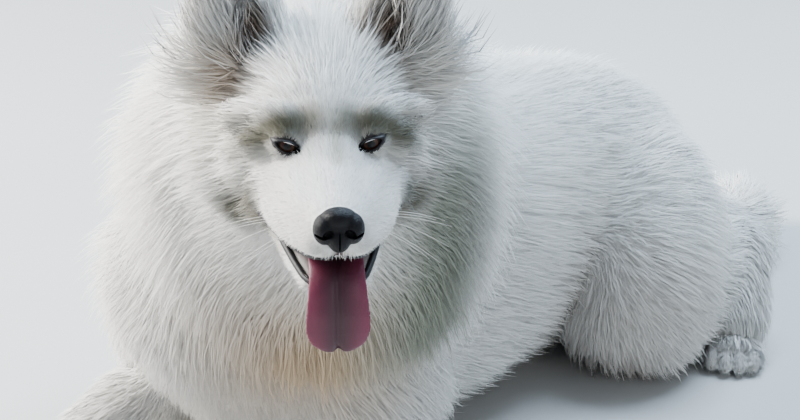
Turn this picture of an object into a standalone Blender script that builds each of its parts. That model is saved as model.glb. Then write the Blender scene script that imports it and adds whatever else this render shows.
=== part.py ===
# A life-size Samoyed, lying on its chest with its head turned to its left and its tongue out.
# The trunk lies along Y with the rump at +Y, the dog's left is +X, and Z is up. The origin is on the
# floor under the withers. Each body part is one closed solid, with flat locks of coat fused to it.

import math
import random

import bmesh
import bpy
from mathutils import Matrix, Vector
from mathutils.bvhtree import BVHTree

GAP = 0.0005              # kept between parts that touch
CORE_SHARE = 0.42         # how far from the skin to the tips of the coat the solid core reaches
FLOOR_CLEARANCE = 0.003   # kept under the locks of coat

# Depth of the coat, from the skin to the tips
COAT_CHEST = 0.070
COAT_THIGH = 0.045
COAT_LEG = 0.014
COAT_TAIL = 0.060

# The head has a frame of its own: X to its right, Y forward and Z up, from midway between the eyes
HEAD_AT = Vector((0.266, -0.238, 0.432))
HEAD_YAW = math.radians(45.6)   # from straight ahead to the dog's left
HEAD_LENGTH = 0.130             # from the eyes back to the neck
HEAD_VOXEL = 0.0035
HEAD_TRIANGLES = 1200

# Forms of the head in its frame: centre and radii, and the right one where there are two
FOREHEAD = ((0, -0.036, 0.012), (0.046, 0.036, 0.032))
CHEEK = ((0.047, -0.058, -0.028), (0.037, 0.060, 0.043))
BROW = ((0.031, -0.015, 0.0125), (0.021, 0.016, 0.010))
CHEEKBONE = ((0.038, -0.004, -0.018), (0.019, 0.024, 0.014))
EYE_RADIUS = 0.0120
EYE = ((0.0325, -0.0105, 0), [EYE_RADIUS] * 3)
EYE_SLIT = ((0.0325, 0.004, 0), (0.0128, 0.0068, 0.013))
EYE_SLANT = math.radians(16)    # the outer corner is the higher
LID = 0.0024
NOSE = ((0, 0.1085, -0.030), (0.0195, 0.0130, 0.0150))
NOSTRIL = ((0.0085, 0.1200, -0.0305), (0.0042, 0.0050, 0.0026))
NOSTRIL_SLANT = math.radians(35)

# A paw in its own frame, toes towards -Y: centre and radii of its palm and of a toe
PALM = ((0, 0.012, 0.018), (0.029, 0.036, 0.020))
TOE = ((0, -0.026, 0.012), (0.0095, 0.021, 0.0135))
TOE_SPACING = 0.0145
TOE_SETBACK = 0.006             # for each toe that it is away from the middle
PAW_VOXEL = 0.004
PAW_TRIANGLES = 240
# Where a paw stands, where it heads, and its size
PAWS = {
    "forepaw_left": ((-0.006, -0.192, 0.000), math.radians(-22), 1.05),
    "forepaw_right": ((-0.088, -0.238, 0.000), 0.0, 1.05),
    "hind_paw_left": ((0.214, 0.456, 0.000), math.radians(33), 0.98),
    "hind_paw_right": ((-0.151, 0.378, 0.000), math.radians(-4), 0.98),
}

# Stations of a body part: centre, half width, half height at the skin, and depth of the coat
TORSO = [
    ((0.000, -0.110, 0.178), 0.060, 0.072, COAT_CHEST),
    ((0.000, -0.060, 0.166), 0.088, 0.112, COAT_CHEST),
    ((0.000, 0.010, 0.154), 0.096, 0.142, 0.082),
    ((0.000, 0.080, 0.150), 0.096, 0.146, 0.084),
    ((0.000, 0.180, 0.150), 0.097, 0.142, 0.072),
    ((0.000, 0.280, 0.148), 0.091, 0.137, 0.060),
    ((0.000, 0.370, 0.142), 0.092, 0.132, 0.052),
    ((0.000, 0.440, 0.134), 0.096, 0.126, 0.048),
    ((0.000, 0.500, 0.126), 0.082, 0.108, 0.045),
]
NECK = [
    ((0.010, 0.010, 0.205), 0.098, 0.112, 0.085),
    ((0.040, -0.035, 0.262), 0.092, 0.102, 0.088),
    ((0.090, -0.085, 0.322), 0.084, 0.094, 0.090),
    ((0.145, -0.132, 0.370), 0.076, 0.086, 0.088),
    ((0.195, -0.176, 0.402), 0.068, 0.074, 0.080),
]
TAIL = [
    ((0.000, 0.515, 0.165), 0.030, 0.030, 0.035),
    ((0.012, 0.575, 0.125), 0.024, 0.024, COAT_TAIL),
    ((0.035, 0.625, 0.074), 0.021, 0.021, COAT_TAIL),
    ((0.050, 0.680, 0.043), 0.019, 0.019, COAT_TAIL),
    ((0.040, 0.740, 0.038), 0.017, 0.017, COAT_TAIL),
    ((0.002, 0.790, 0.034), 0.012, 0.012, COAT_TAIL),
]
UPPER_ARM_LEFT = [
    ((0.075, -0.040, 0.165), 0.046, 0.055, 0.040),
    ((0.092, 0.000, 0.120), 0.046, 0.052, 0.035),
    ((0.092, 0.035, 0.072), 0.036, 0.040, 0.030),
]
FOREARM_LEFT = [
    ((0.090, 0.040, 0.060), 0.034, 0.036, 0.025),
    ((0.070, -0.020, 0.048), 0.034, 0.036, 0.025),
    ((0.042, -0.085, 0.040), 0.029, 0.031, 0.020),
    ((0.012, -0.148, 0.034), 0.025, 0.026, COAT_LEG),
]
UPPER_ARM_RIGHT = [
    ((-0.075, -0.060, 0.160), 0.046, 0.055, 0.040),
    ((-0.094, -0.030, 0.115), 0.046, 0.052, 0.035),
    ((-0.098, 0.000, 0.072), 0.036, 0.040, 0.030),
]
FOREARM_RIGHT = [
    ((-0.096, 0.000, 0.060), 0.034, 0.036, 0.025),
    ((-0.094, -0.060, 0.050), 0.033, 0.036, 0.025),
    ((-0.090, -0.130, 0.042), 0.028, 0.031, 0.020),
    ((-0.088, -0.195, 0.034), 0.025, 0.026, COAT_LEG),
]
THIGH_LEFT = [
    ((0.040, 0.455, 0.150), 0.070, 0.080, COAT_THIGH),
    ((0.085, 0.430, 0.125), 0.076, 0.088, COAT_THIGH),
    ((0.128, 0.385, 0.092), 0.062, 0.074, COAT_THIGH),
    ((0.155, 0.350, 0.064), 0.042, 0.050, 0.035),
]
SHANK_LEFT = [
    ((0.157, 0.365, 0.058), 0.038, 0.042, 0.030),
    ((0.158, 0.430, 0.062), 0.032, 0.038, 0.025),
    ((0.158, 0.490, 0.082), 0.024, 0.028, 0.020),
    ((0.158, 0.528, 0.099), 0.017, 0.020, COAT_LEG),
]
FOOT_LEFT = [
    ((0.160, 0.532, 0.096), 0.017, 0.019, COAT_LEG),
    ((0.180, 0.503, 0.066), 0.016, 0.018, COAT_LEG),
    ((0.200, 0.476, 0.036), 0.019, 0.018, COAT_LEG),
]
THIGH_RIGHT = [
    ((-0.040, 0.455, 0.150), 0.070, 0.080, COAT_THIGH),
    ((-0.080, 0.425, 0.130), 0.076, 0.088, COAT_THIGH),
    ((-0.112, 0.370, 0.104), 0.060, 0.076, COAT_THIGH),
    ((-0.130, 0.325, 0.086), 0.042, 0.056, 0.035),
]
SHANK_RIGHT = [
    ((-0.132, 0.345, 0.070), 0.034, 0.044, 0.028),
    ((-0.138, 0.420, 0.066), 0.030, 0.036, 0.025),
    ((-0.142, 0.490, 0.060), 0.022, 0.028, 0.018),
]
FOOT_RIGHT = [
    ((-0.143, 0.500, 0.040), 0.019, 0.021, COAT_LEG),
    ((-0.147, 0.450, 0.024), 0.017, 0.018, COAT_LEG),
    ((-0.150, 0.410, 0.022), 0.019, 0.018, COAT_LEG),
]

# Stations of the head's parts, in its own frame, at the outside of its short coat
SKULL = [
    ((0, -0.150, 0.000), 0.056, 0.050, 0),
    ((0, -0.110, 0.002), 0.066, 0.056, 0),
    ((0, -0.070, 0.000), 0.066, 0.056, 0),
    ((0, -0.035, -0.003), 0.057, 0.048, 0),
    ((0, -0.008, -0.010), 0.046, 0.036, 0),
]
MUZZLE = [
    ((0, -0.020, -0.014), 0.042, 0.032, 0),
    ((0, 0.005, -0.019), 0.036, 0.027, 0),
    ((0, 0.030, -0.0245), 0.031, 0.0215, 0),
    ((0, 0.060, -0.0285), 0.027, 0.0190, 0),
    ((0, 0.090, -0.0315), 0.024, 0.0175, 0),
    ((0, 0.100, -0.0325), 0.021, 0.0160, 0),
]
UPPER_LIP = [
    ((0.049, -0.008, -0.036), 0.010, 0.014, 0),
    ((0.040, 0.025, -0.038), 0.010, 0.013, 0),
    ((0.029, 0.062, -0.040), 0.010, 0.012, 0),
    ((0.015, 0.096, -0.041), 0.011, 0.010, 0),
]
LOWER_JAW = [
    ((0, -0.060, -0.074), 0.048, 0.034, 0),
    ((0, -0.020, -0.074), 0.044, 0.027, 0),
    ((0, 0.010, -0.076), 0.037, 0.0215, 0),
    ((0, 0.040, -0.082), 0.029, 0.0165, 0),
    ((0, 0.064, -0.087), 0.023, 0.0130, 0),
]
TONGUE = [
    ((0, 0.000, -0.0560), 0.0180, 0.0045, 0),
    ((0, 0.040, -0.0610), 0.0215, 0.0045, 0),
    ((0, 0.072, -0.0670), 0.0235, 0.0042, 0),
    ((0, 0.087, -0.0790), 0.0250, 0.0040, 0),
    ((0, 0.0905, -0.1000), 0.0255, 0.0038, 0),
    ((0, 0.0895, -0.1200), 0.0235, 0.0034, 0),
    ((0, 0.0885, -0.1330), 0.0140, 0.0028, 0),
]
TONGUE_UP = Vector((0, 0.6, 0.8))
EAR_AT = Vector((0.062, -0.105, 0.034))
EAR = [
    ((0.000, 0.000, 0.000), 0.035, 0.022, 0),
    ((0.004, 0.001, 0.024), 0.036, 0.020, 0),
    ((0.008, 0.001, 0.046), 0.031, 0.017, 0),
    ((0.011, 0.000, 0.066), 0.021, 0.012, 0),
    ((0.013, -0.002, 0.080), 0.011, 0.008, 0),
]
EAR_WALL = 0.009
EAR_CUP = Vector((0, 0.009, 0.004))   # from the middle of the ear to the middle of its hollow
EAR_CUP_LEAST = 0.003

# Stations and sides of each part of the body, in the order in which they are fitted together
LIMBS = {
    "forearm_left": (FOREARM_LEFT, 12),
    "forearm_right": (FOREARM_RIGHT, 12),
    "upper_arm_left": (UPPER_ARM_LEFT, 12),
    "upper_arm_right": (UPPER_ARM_RIGHT, 12),
    "hind_foot_left": (FOOT_LEFT, 10),
    "hind_foot_right": (FOOT_RIGHT, 10),
    "shank_left": (SHANK_LEFT, 12),
    "shank_right": (SHANK_RIGHT, 12),
    "thigh_left": (THIGH_LEFT, 14),
    "thigh_right": (THIGH_RIGHT, 14),
    "tail": (TAIL, 10),
    "neck": (NECK, 16),
    "torso": (TORSO, 20),
}
SEAT_DEPTH = 0.018              # how far the limbs, neck and tail reach into the torso
FLAT = math.radians(0.5)        # faces that meet at less than this are one
CAP_RINGS = (math.radians(62), math.radians(32))

# Locks of a node: how many, length, width, thickness and how ragged their lie is
LOCKS = {
    "head": (12, 0.062, 0.034, 0.008, 0.15),
    "neck": (52, 0.130, 0.062, 0.013, 0.22),
    "thigh_left": (16, 0.095, 0.052, 0.010, 0.18),
    "thigh_right": (16, 0.095, 0.052, 0.010, 0.18),
    "tail": (17, 0.100, 0.040, 0.009, 0.30),
    "torso": (70, 0.130, 0.066, 0.013, 0.18),
}
BLADE = ((0.00, 0.70), (0.25, 1.00), (0.68, 0.78))   # share of a lock's length, share of its width
ROOT_DEPTH = 0.012
ROOT_SPACE = 0.012              # kept between a lock's root and the nodes beside it
CHEEK_COAT = 0.030              # depth of the coat on the cheeks
CHOICES = 30                    # places looked at for each lock
SHORTENING = 0.8                # of a lock that meets another node, tried so many times
TRIES = 5
SEED = " coat 1"

# Colour and roughness
COAT = ((0.84, 0.81, 0.74), 0.85)
MATERIALS = {
    "nose": ((0.015, 0.014, 0.015), 0.35),
    "tongue": ((0.66, 0.22, 0.28), 0.40),
    "lower_jaw": ((0.72, 0.66, 0.60), 0.80),
    "eye_left": ((0.035, 0.018, 0.010), 0.08),
    "eye_right": ((0.035, 0.018, 0.010), 0.08),
}
SHARP = math.radians(40)


def clear_scene():
    for obj in list(bpy.data.objects):
        bpy.data.objects.remove(obj)


def catmull_rom(before, start, end, after, t):
    return 0.5 * (
        2 * start
        + (end - before) * t
        + (2 * before - 5 * start + 4 * end - after) * t * t
        + (3 * start - before - 3 * end + after) * t * t * t
    )


def refined(rows, steps):
    """Rows of numbers, with steps - 1 smooth rows added between each pair."""
    made = []
    for i in range(len(rows) - 1):
        around = [rows[max(0, min(len(rows) - 1, i + k))] for k in (-1, 0, 1, 2)]
        for step in range(steps):
            made.append([catmull_rom(*column, step / steps) for column in zip(*around)])
    return made + [list(rows[-1])]


def placed(mesh, name):
    obj = bpy.data.objects.new(name, mesh)
    bpy.context.scene.collection.objects.link(obj)
    return obj


def loft(name, rings, start, end):
    """A closed skin over rings of points, drawn to a point at each end."""
    bm = bmesh.new()
    rows = [[bm.verts.new(point) for point in ring] for ring in rings]
    count = len(rows[0])
    for near, far in zip(rows, rows[1:]):
        for i in range(count):
            j = (i + 1) % count
            bm.faces.new((near[i], near[j], far[j]))
            bm.faces.new((near[i], far[j], far[i]))
    for pole, ring in ((start, rows[0]), (end, rows[-1])):
        tip = bm.verts.new(pole)
        for i in range(count):
            bm.faces.new((ring[i], ring[(i + 1) % count], tip))
    bmesh.ops.recalc_face_normals(bm, faces=bm.faces)
    mesh = bpy.data.meshes.new(name)
    bm.to_mesh(mesh)
    bm.free()
    return placed(mesh, name)


def tube(name, stations, sides=16, steps=1, grow=0.0, cap_depth=0.6, up=Vector((0, 0, 1))):
    """A rounded body through its stations, its surface moved out by what it grows."""
    rows = refined([[*at, width, height, coat] for at, width, height, coat in stations], steps)
    centres = [Vector(row[:3]) for row in rows]
    sizes = [(row[3] + CORE_SHARE * row[5] + grow, row[4] + CORE_SHARE * row[5] + grow) for row in rows]
    last = len(rows) - 1
    tangents = [(centres[min(i + 1, last)] - centres[max(i - 1, 0)]).normalized() for i in range(last + 1)]

    def ring(centre, tangent, width, height):
        side = tangent.cross(up).normalized()
        over = side.cross(tangent).normalized()
        points = []
        for k in range(sides):
            angle = 2 * math.pi * k / sides
            points.append(centre + side * math.cos(angle) * width + over * math.sin(angle) * height)
        return points

    def cap(i, sign):
        width, height = sizes[i]
        reach = cap_depth * (min(width, height) - grow) + grow
        made = []
        for angle in CAP_RINGS:
            centre = centres[i] + tangents[i] * sign * reach * math.sin(angle)
            made.append(ring(centre, tangents[i], width * math.cos(angle), height * math.cos(angle)))
        return centres[i] + tangents[i] * sign * reach, made

    start, first = cap(0, -1)
    end, closing = cap(last, 1)
    middle = [ring(c, t, *s) for c, t, s in zip(centres, tangents, sizes)]
    return loft(name, first + middle + closing[::-1], start, end)


def ball(name, centre, radii, segments=16, rings=10, turn=Matrix()):
    bpy.ops.mesh.primitive_uv_sphere_add(segments=segments, ring_count=rings, radius=1)
    obj = bpy.context.object
    obj.name = name
    obj.data.transform(Matrix.Translation(centre) @ turn @ Matrix.Diagonal((*radii, 1)))
    return obj


def block(name, centre, size, turn=Matrix()):
    bpy.ops.mesh.primitive_cube_add(size=1)
    obj = bpy.context.object
    obj.name = name
    obj.data.transform(Matrix.Translation(centre) @ turn @ Matrix.Diagonal((*size, 1)))
    return obj


def bake(obj):
    """Apply an object's modifiers."""
    evaluated = obj.evaluated_get(bpy.context.evaluated_depsgraph_get())
    mesh = bpy.data.meshes.new_from_object(evaluated)
    obj.modifiers.clear()
    obj.data = mesh
    return obj


def boolean(obj, others, operation, solver="EXACT"):
    """Join to an object, or cut from it, a list of closed objects, which are then removed."""
    gathered = bpy.data.collections.new("pieces")
    bpy.context.scene.collection.children.link(gathered)
    for other in others:
        for collection in list(other.users_collection):
            collection.objects.unlink(other)
        gathered.objects.link(other)
    modifier = obj.modifiers.new("Boolean", "BOOLEAN")
    modifier.operation = operation
    modifier.operand_type = "COLLECTION"
    modifier.collection = gathered
    modifier.solver = solver
    bake(obj)
    for other in others:
        bpy.data.objects.remove(other)
    bpy.data.collections.remove(gathered)
    return keep_largest(obj)


def keep_largest(obj):
    """Drop everything but the largest closed surface, the faces that hang together by their edges."""
    bm = bmesh.new()
    bm.from_mesh(obj.data)
    left = set(bm.faces)
    surfaces = []
    while left:
        found = {left.pop()}
        front = list(found)
        while front:
            near = {other for face in front for edge in face.edges for other in edge.link_faces} - found
            found |= near
            front = list(near)
        left -= found
        surfaces.append((sum(face.calc_area() for face in found), len(surfaces), found))
    if len(surfaces) > 1:
        largest = max(surfaces)[2]
        bmesh.ops.delete(bm, geom=[face for face in bm.faces if face not in largest], context="FACES")
        bm.to_mesh(obj.data)
    bm.free()
    return obj


def softened(obj, voxel, smoothing, triangles):
    """Melt an object's joined forms into one smooth surface of about so many triangles."""
    remesh = obj.modifiers.new("Remesh", "REMESH")
    remesh.mode = "VOXEL"
    remesh.voxel_size = voxel
    smooth = obj.modifiers.new("Smooth", "SMOOTH")
    smooth.factor = 0.5
    smooth.iterations = smoothing
    bake(obj)
    count = sum(len(face.vertices) - 2 for face in obj.data.polygons)
    decimate = obj.modifiers.new("Decimate", "DECIMATE")
    decimate.ratio = min(1.0, triangles / count)
    return bake(obj)


def joined(name, objects):
    """One mesh of several, which may still cross."""
    bm = bmesh.new()
    for obj in objects:
        bm.from_mesh(obj.data)
        bpy.data.objects.remove(obj)
    mesh = bpy.data.meshes.new(name)
    bm.to_mesh(mesh)
    bm.free()
    return placed(mesh, name)


def grown(name, obj, by):
    """A copy of an object, its surface moved out."""
    copy = placed(obj.data.copy(), name)
    copy.data.update()
    normals = [n.vector.copy() for n in copy.data.vertex_normals]
    for vertex, normal in zip(copy.data.vertices, normals):
        vertex.co += normal * by
    return copy


def mirrored(stations, side):
    return [((side * at[0], at[1], at[2]), *rest) for at, *rest in stations]


def on_side(form, side):
    """The centre and radii of a ball, on the right for 1 and on the left for -1."""
    at, radii = form
    return (side * at[0], at[1], at[2]), radii


def swollen(radii, by):
    return [radius + by for radius in radii]


def head_frame():
    return Matrix.Translation(HEAD_AT) @ Matrix.Rotation(math.pi + HEAD_YAW, 4, "Z")


def to_body(obj):
    obj.data.transform(head_frame())
    return obj


def head_forms():
    """The head in one smooth surface, before its openings."""
    forms = [tube("skull", SKULL, 24, 2), tube("muzzle", MUZZLE, 20, 2), ball("forehead", *FOREHEAD)]
    for side in (-1, 1):
        forms.append(tube("lip", mirrored(UPPER_LIP, side), 12, 2))
        forms.append(ball("cheek", *on_side(CHEEK, side)))
        forms.append(ball("brow", *on_side(BROW, side)))
        forms.append(ball("cheekbone", *on_side(CHEEKBONE, side)))
    return softened(joined("head", forms), HEAD_VOXEL, 4, HEAD_TRIANGLES)


def eyeball(name, side, grow=0.0):
    at, radii = on_side(EYE, side)
    return ball(name, at, swollen(radii, grow), 14, 7)


def eye_slit(side):
    """An almond between the lids."""
    turn = Matrix.Rotation(-EYE_SLANT * side, 4, "Y") @ Matrix.Rotation(math.pi / 2, 4, "X")
    return ball("slit", *on_side(EYE_SLIT, side), 16, 8, turn)


def behind_head(grow=0.0):
    return block("back", (0, -HEAD_LENGTH - 0.1 + grow, 0), (0.5, 0.2, 0.8))


def make_head():
    head = head_forms()
    for side in (-1, 1):
        at, radii = on_side(EYE, side)
        boolean(head, [ball("lids", at, swollen(radii, LID), 14, 8)], "UNION")
    for side in (-1, 1):
        boolean(head, [eyeball("socket", side, GAP), eye_slit(side)], "DIFFERENCE")
    boolean(head, [behind_head()], "DIFFERENCE")
    boolean(head, [make_nose_form(GAP)], "DIFFERENCE")
    boolean(head, [make_jaw(GAP)], "DIFFERENCE")
    boolean(head, [make_tongue(GAP)], "DIFFERENCE")
    return head


def make_nose_form(grow=0.0):
    at, radii = NOSE
    return ball("nose", at, swollen(radii, grow), 12, 7)


def make_nose():
    nose = make_nose_form()
    nostrils = []
    for side in (-1, 1):
        turn = Matrix.Rotation(side * NOSTRIL_SLANT, 4, "Y")
        nostrils.append(ball("nostril", *on_side(NOSTRIL, side), 10, 6, turn))
    return boolean(nose, nostrils, "DIFFERENCE")


def make_jaw(grow=0.0):
    return tube("lower_jaw", LOWER_JAW, 14, grow=grow)


def make_tongue(grow=0.0):
    return tube("tongue", TONGUE, 8, 2, grow, up=TONGUE_UP)


def make_ear(name, side, skull):
    """A cup that opens forward, its foot cut to the skull."""
    forward = Vector((0, 1, 0))
    outer = [(EAR_AT + Vector(at), *rest) for at, *rest in EAR]
    hollow = []
    for at, width, depth, coat in outer[:-1]:
        hollow.append((at + EAR_CUP, width - EAR_WALL, max(EAR_CUP_LEAST, depth - 0.002), coat))
    ear = tube(name, mirrored(outer, side), 12, up=forward)
    boolean(ear, [tube("cup", mirrored(hollow, side), 8, up=forward)], "DIFFERENCE")
    return boolean(ear, [grown("skull", skull, GAP)], "DIFFERENCE")


def make_paw(name, at, heading, size, grow=0.0):
    """A palm and four toes, flat on the floor."""
    turn = Matrix.Translation(at) @ Matrix.Rotation(heading, 4, "Z")
    forms = [ball("palm", *PALM, 14, 8)]
    (_, front, height), radii = TOE
    for toe in (-1.5, -0.5, 0.5, 1.5):
        centre = (toe * TOE_SPACING, front + TOE_SETBACK * abs(toe), height)
        forms.append(ball("toe", centre, radii, 12, 8))
    paw = softened(joined(name, forms), PAW_VOXEL, 2, PAW_TRIANGLES)
    paw.data.transform(turn @ Matrix.Scale(size, 4))
    if grow:
        placed_copy = grown(name, paw, grow)
        bpy.data.objects.remove(paw)
        paw = placed_copy
    return paw


def floor_block(grow=0.0):
    return block("floor", (0, 0.2, -0.1 + grow), (2, 2, 0.2))


def body_form(name, grow=0.0):
    """A body part of its full form, before its neighbours are cut from it."""
    if name in PAWS:
        at, heading, size = PAWS[name]
        form = make_paw(name, Vector(at), heading, size, grow)
    else:
        form = tube(name, *LIMBS[name], grow=grow)
    if name != "torso" and name not in PAWS:
        seat = tube("seat", TORSO, 8, grow=-SEAT_DEPTH - grow)
        if boxes_meet(form, seat):
            boolean(form, [seat], "DIFFERENCE")
        else:
            bpy.data.objects.remove(seat)
    return form


def box(obj):
    points = [v.co for v in obj.data.vertices]
    return [(min(p[k] for p in points), max(p[k] for p in points)) for k in range(3)]


def boxes_meet(one, other):
    return all(a[0] < b[1] and b[0] < a[1] for a, b in zip(box(one), box(other)))


def make_body():
    """The body's cores, each cut clear of those before it, of the head and of the floor."""
    cores = {}
    for name in [*PAWS, *LIMBS]:
        core = body_form(name)
        cutters = [body_form(earlier, GAP) for earlier in cores if boxes_meet(core, cores[earlier])]
        cutters.append(floor_block())
        if name in ("neck", "torso"):
            cutters.append(to_body(block("front", (0, -HEAD_LENGTH + 0.2 - GAP, 0), (1.0, 0.4, 1.6))))
        boolean(core, cutters, "DIFFERENCE")
        cores[name] = merge_flats(core)
    return cores


def merge_flats(obj):
    """Join faces that the cuts split but left in one plane."""
    bm = bmesh.new()
    bm.from_mesh(obj.data)
    bmesh.ops.dissolve_limit(bm, angle_limit=FLAT, verts=bm.verts, edges=bm.edges)
    bmesh.ops.triangulate(bm, faces=bm.faces)
    bm.to_mesh(obj.data)
    bm.free()
    return obj


def make_head_parts():
    skull = head_forms()
    parts = {"head": make_head(), "lower_jaw": make_jaw(), "tongue": make_tongue(), "nose": make_nose()}
    boolean(parts["lower_jaw"], [make_tongue(GAP)], "DIFFERENCE")
    boolean(parts["lower_jaw"], [behind_head(GAP)], "DIFFERENCE")
    for side, name in ((1, "right"), (-1, "left")):
        parts["eye_" + name] = eyeball("eye", side)
        parts["ear_" + name] = make_ear("ear", side, skull)
    bpy.data.objects.remove(skull)
    for part in parts.values():
        to_body(part)
    return parts


def smooth_rise(value, low, high):
    share = min(1.0, max(0.0, (value - low) / (high - low)))
    return share * share * (3 - 2 * share)


def nearest_station(stations, point):
    return min(range(len(stations)), key=lambda i: (Vector(stations[i][0]) - point).length)


def along(stations, point):
    """The direction of a part's stations, beside a point."""
    i = nearest_station(stations, point)
    after = min(i + 1, len(stations) - 1)
    return (Vector(stations[after][0]) - Vector(stations[max(0, after - 2)][0])).normalized()


def coat_lie(name, point):
    """Which way the coat runs at a point, before it is laid on the surface."""
    side = math.copysign(1, point.x)
    forward = Vector((math.sin(HEAD_YAW), -math.cos(HEAD_YAW), 0))
    if name == "head":
        return -0.8 * forward + Vector((0, 0, -0.55))
    if name == "neck":
        return -0.55 * forward + Vector((0, 0, -0.75))
    if name == "tail":
        return along(TAIL, point)
    if name.startswith("thigh"):
        return Vector((0.05 * side, 0.65, -0.65))
    chest = 1 - smooth_rise(point.y, -0.10, 0.06)
    return Vector((0, 1, -0.45)) * (1 - chest) + Vector((0.15 * side, 0.15, -1)) * chest


def coat_depth(name, point):
    """How deep the coat is at a point, from skin to tips."""
    if name == "head":
        return CHEEK_COAT
    stations = LIMBS[name][0]
    return stations[nearest_station(stations, point)][3]


def carries_locks(name, point):
    """Whether the coat at a point is long enough for locks: on the head, only on its cheeks."""
    if name != "head":
        return True
    at = head_frame().inverted() @ point
    return -0.095 < at.y < -0.030 and at.z < 0.005 and abs(at.x) > 0.040


def blade(name, path, normals, width, thickness, lowest, swell=0.0):
    """A flat lock that tapers along a path to a point, none of it under its lowest level."""
    rings = []
    for i, (_, share) in enumerate(BLADE):
        run = (path[min(i + 1, len(path) - 1)] - path[max(i - 1, 0)]).normalized()
        over = (normals[i] - run * normals[i].dot(run)).normalized()
        across = run.cross(over)
        half_width = across * (width * share / 2 + 2 * swell)
        ridge = over * (thickness * (0.4 + 0.6 * share) + swell)
        under = over * -swell
        ring = [path[i] + half_width + under, path[i] + ridge, path[i] - half_width + under]
        lift = Vector((0, 0, max(0.0, lowest - swell - min(point.z for point in ring))))
        rings.append([point + lift for point in ring])
    return loft(name, rings, path[0] - (path[1] - path[0]).normalized() * 0.002, path[-1])


def lay_lock(surface, root, normal, lie, length, height, lowest):
    """The path of a lock from its sunk root, over the surface, to its raised tip."""
    path, normals = [root - normal * ROOT_DEPTH], [normal]
    here = root
    shares = [share for share, _ in BLADE] + [1.0]
    for before, share in zip(shares, shares[1:]):
        run = (lie - normal * lie.dot(normal)).normalized()
        found, normal, _, _ = surface.find_nearest(here + run * length * (share - before))
        here = found
        rise = height * (0.25 + 0.75 * share)
        point = found + normal * rise
        point.z = max(point.z, lowest)
        path.append(point)
        normals.append(normal.copy())
    return path, normals


def roots_on(name, node, count, rng, keep_out):
    """Points spread evenly over a node's outside, away from the neighbours that cover it."""
    node.data.calc_loop_triangles()
    faces = [(t.area, [node.data.vertices[v].co for v in t.vertices], t.normal.copy())
             for t in node.data.loop_triangles]
    faces = [face for face in faces if face[2].z > -0.5]
    weights = [face[0] for face in faces]
    candidates = []
    for _, corners, normal in rng.choices(faces, weights, k=count * CHOICES):
        a, b = sorted((rng.random(), rng.random()))
        point = corners[0] * a + corners[1] * (b - a) + corners[2] * (1 - b)
        if carries_locks(name, point) and all(tree.find_nearest(point)[3] > ROOT_SPACE for tree in keep_out):
            candidates.append((point, normal))
    chosen = [candidates.pop()]
    distance = [(point - chosen[0][0]).length for point, _ in candidates]
    while len(chosen) < count and candidates:
        far = max(range(len(candidates)), key=distance.__getitem__)
        chosen.append(candidates[far])
        distance = [min(d, (point - chosen[-1][0]).length) for d, (point, _) in zip(distance, candidates)]
    return chosen


def tree_of(obj):
    obj.data.calc_loop_triangles()
    points = [v.co.copy() for v in obj.data.vertices]
    return BVHTree.FromPolygons(points, [tuple(t.vertices) for t in obj.data.loop_triangles])


def cover_with_locks(nodes):
    """Fuse locks of coat to the nodes that carry them, clear of all the others."""
    whole = joined("whole", [placed(nodes[name].data.copy(), "copy") for name in nodes if name[:3] != "eye"])
    surface = tree_of(whole)
    bpy.data.objects.remove(whole)
    trees = {name: tree_of(node) for name, node in nodes.items()}
    for name, (count, length, width, thickness, ragged) in LOCKS.items():
        rng = random.Random(name + SEED)
        node = nodes[name]
        others = [tree for other, tree in trees.items() if other != name]
        locks = []
        for root, normal in roots_on(name, node, count, rng, others):
            lie = coat_lie(name, root).normalized()
            lie += Vector([rng.uniform(-ragged, ragged) for _ in range(3)])
            reach = length * rng.uniform(0.85, 1.15)
            lowest = FLOOR_CLEARANCE * rng.uniform(1.0, 1.6)
            height = (1 - CORE_SHARE) * coat_depth(name, root) * rng.uniform(0.85, 1.05)
            for _ in range(TRIES):
                path, normals = lay_lock(surface, root, normal, lie, reach, height, lowest)
                test = blade("test", path, normals, width, thickness, lowest, GAP)
                clear = not any(tree.overlap(tree_of(test)) for tree in others)
                bpy.data.objects.remove(test)
                if clear:
                    locks.append(blade("lock", path, normals, width, thickness, lowest))
                    break
                reach *= SHORTENING
        if locks:
            boolean(node, locks, "UNION", "MANIFOLD")
            trees[name] = tree_of(node)


def finish(name, node, collection, dog):
    """Name a node, set its origin in its middle, and give it its material, parent and collection."""
    node.name = name
    node.data.name = name
    middle = Vector([round((low + high) / 2, 3) for low, high in box(node)])
    node.data.transform(Matrix.Translation(-middle))
    node.location = middle
    node.parent = dog
    colour, roughness = MATERIALS.get(name, COAT)
    material = bpy.data.materials.new(name)
    material.use_nodes = True
    shader = material.node_tree.nodes["Principled BSDF"]
    shader.inputs["Base Color"].default_value = (*colour, 1)
    shader.inputs["Roughness"].default_value = roughness
    shader.inputs["Metallic"].default_value = 0
    node.data.materials.clear()
    node.data.materials.append(material)
    node.data.shade_smooth()
    node.data.set_sharp_from_angle(angle=SHARP)
    for old in list(node.users_collection):
        old.objects.unlink(node)
    collection.objects.link(node)


def main():
    clear_scene()
    collection = bpy.data.collections.new("samoyed")
    bpy.context.scene.collection.children.link(collection)
    dog = bpy.data.objects.new("dog", None)
    collection.objects.link(dog)
    nodes = {**make_head_parts(), **make_body()}
    cover_with_locks(nodes)
    for name, node in nodes.items():
        finish(name, node, collection, dog)


main()
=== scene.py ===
import math

import bpy
import numpy as np
from mathutils import Matrix, Vector
from mathutils.bvhtree import BVHTree
from mathutils.kdtree import KDTree


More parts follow.
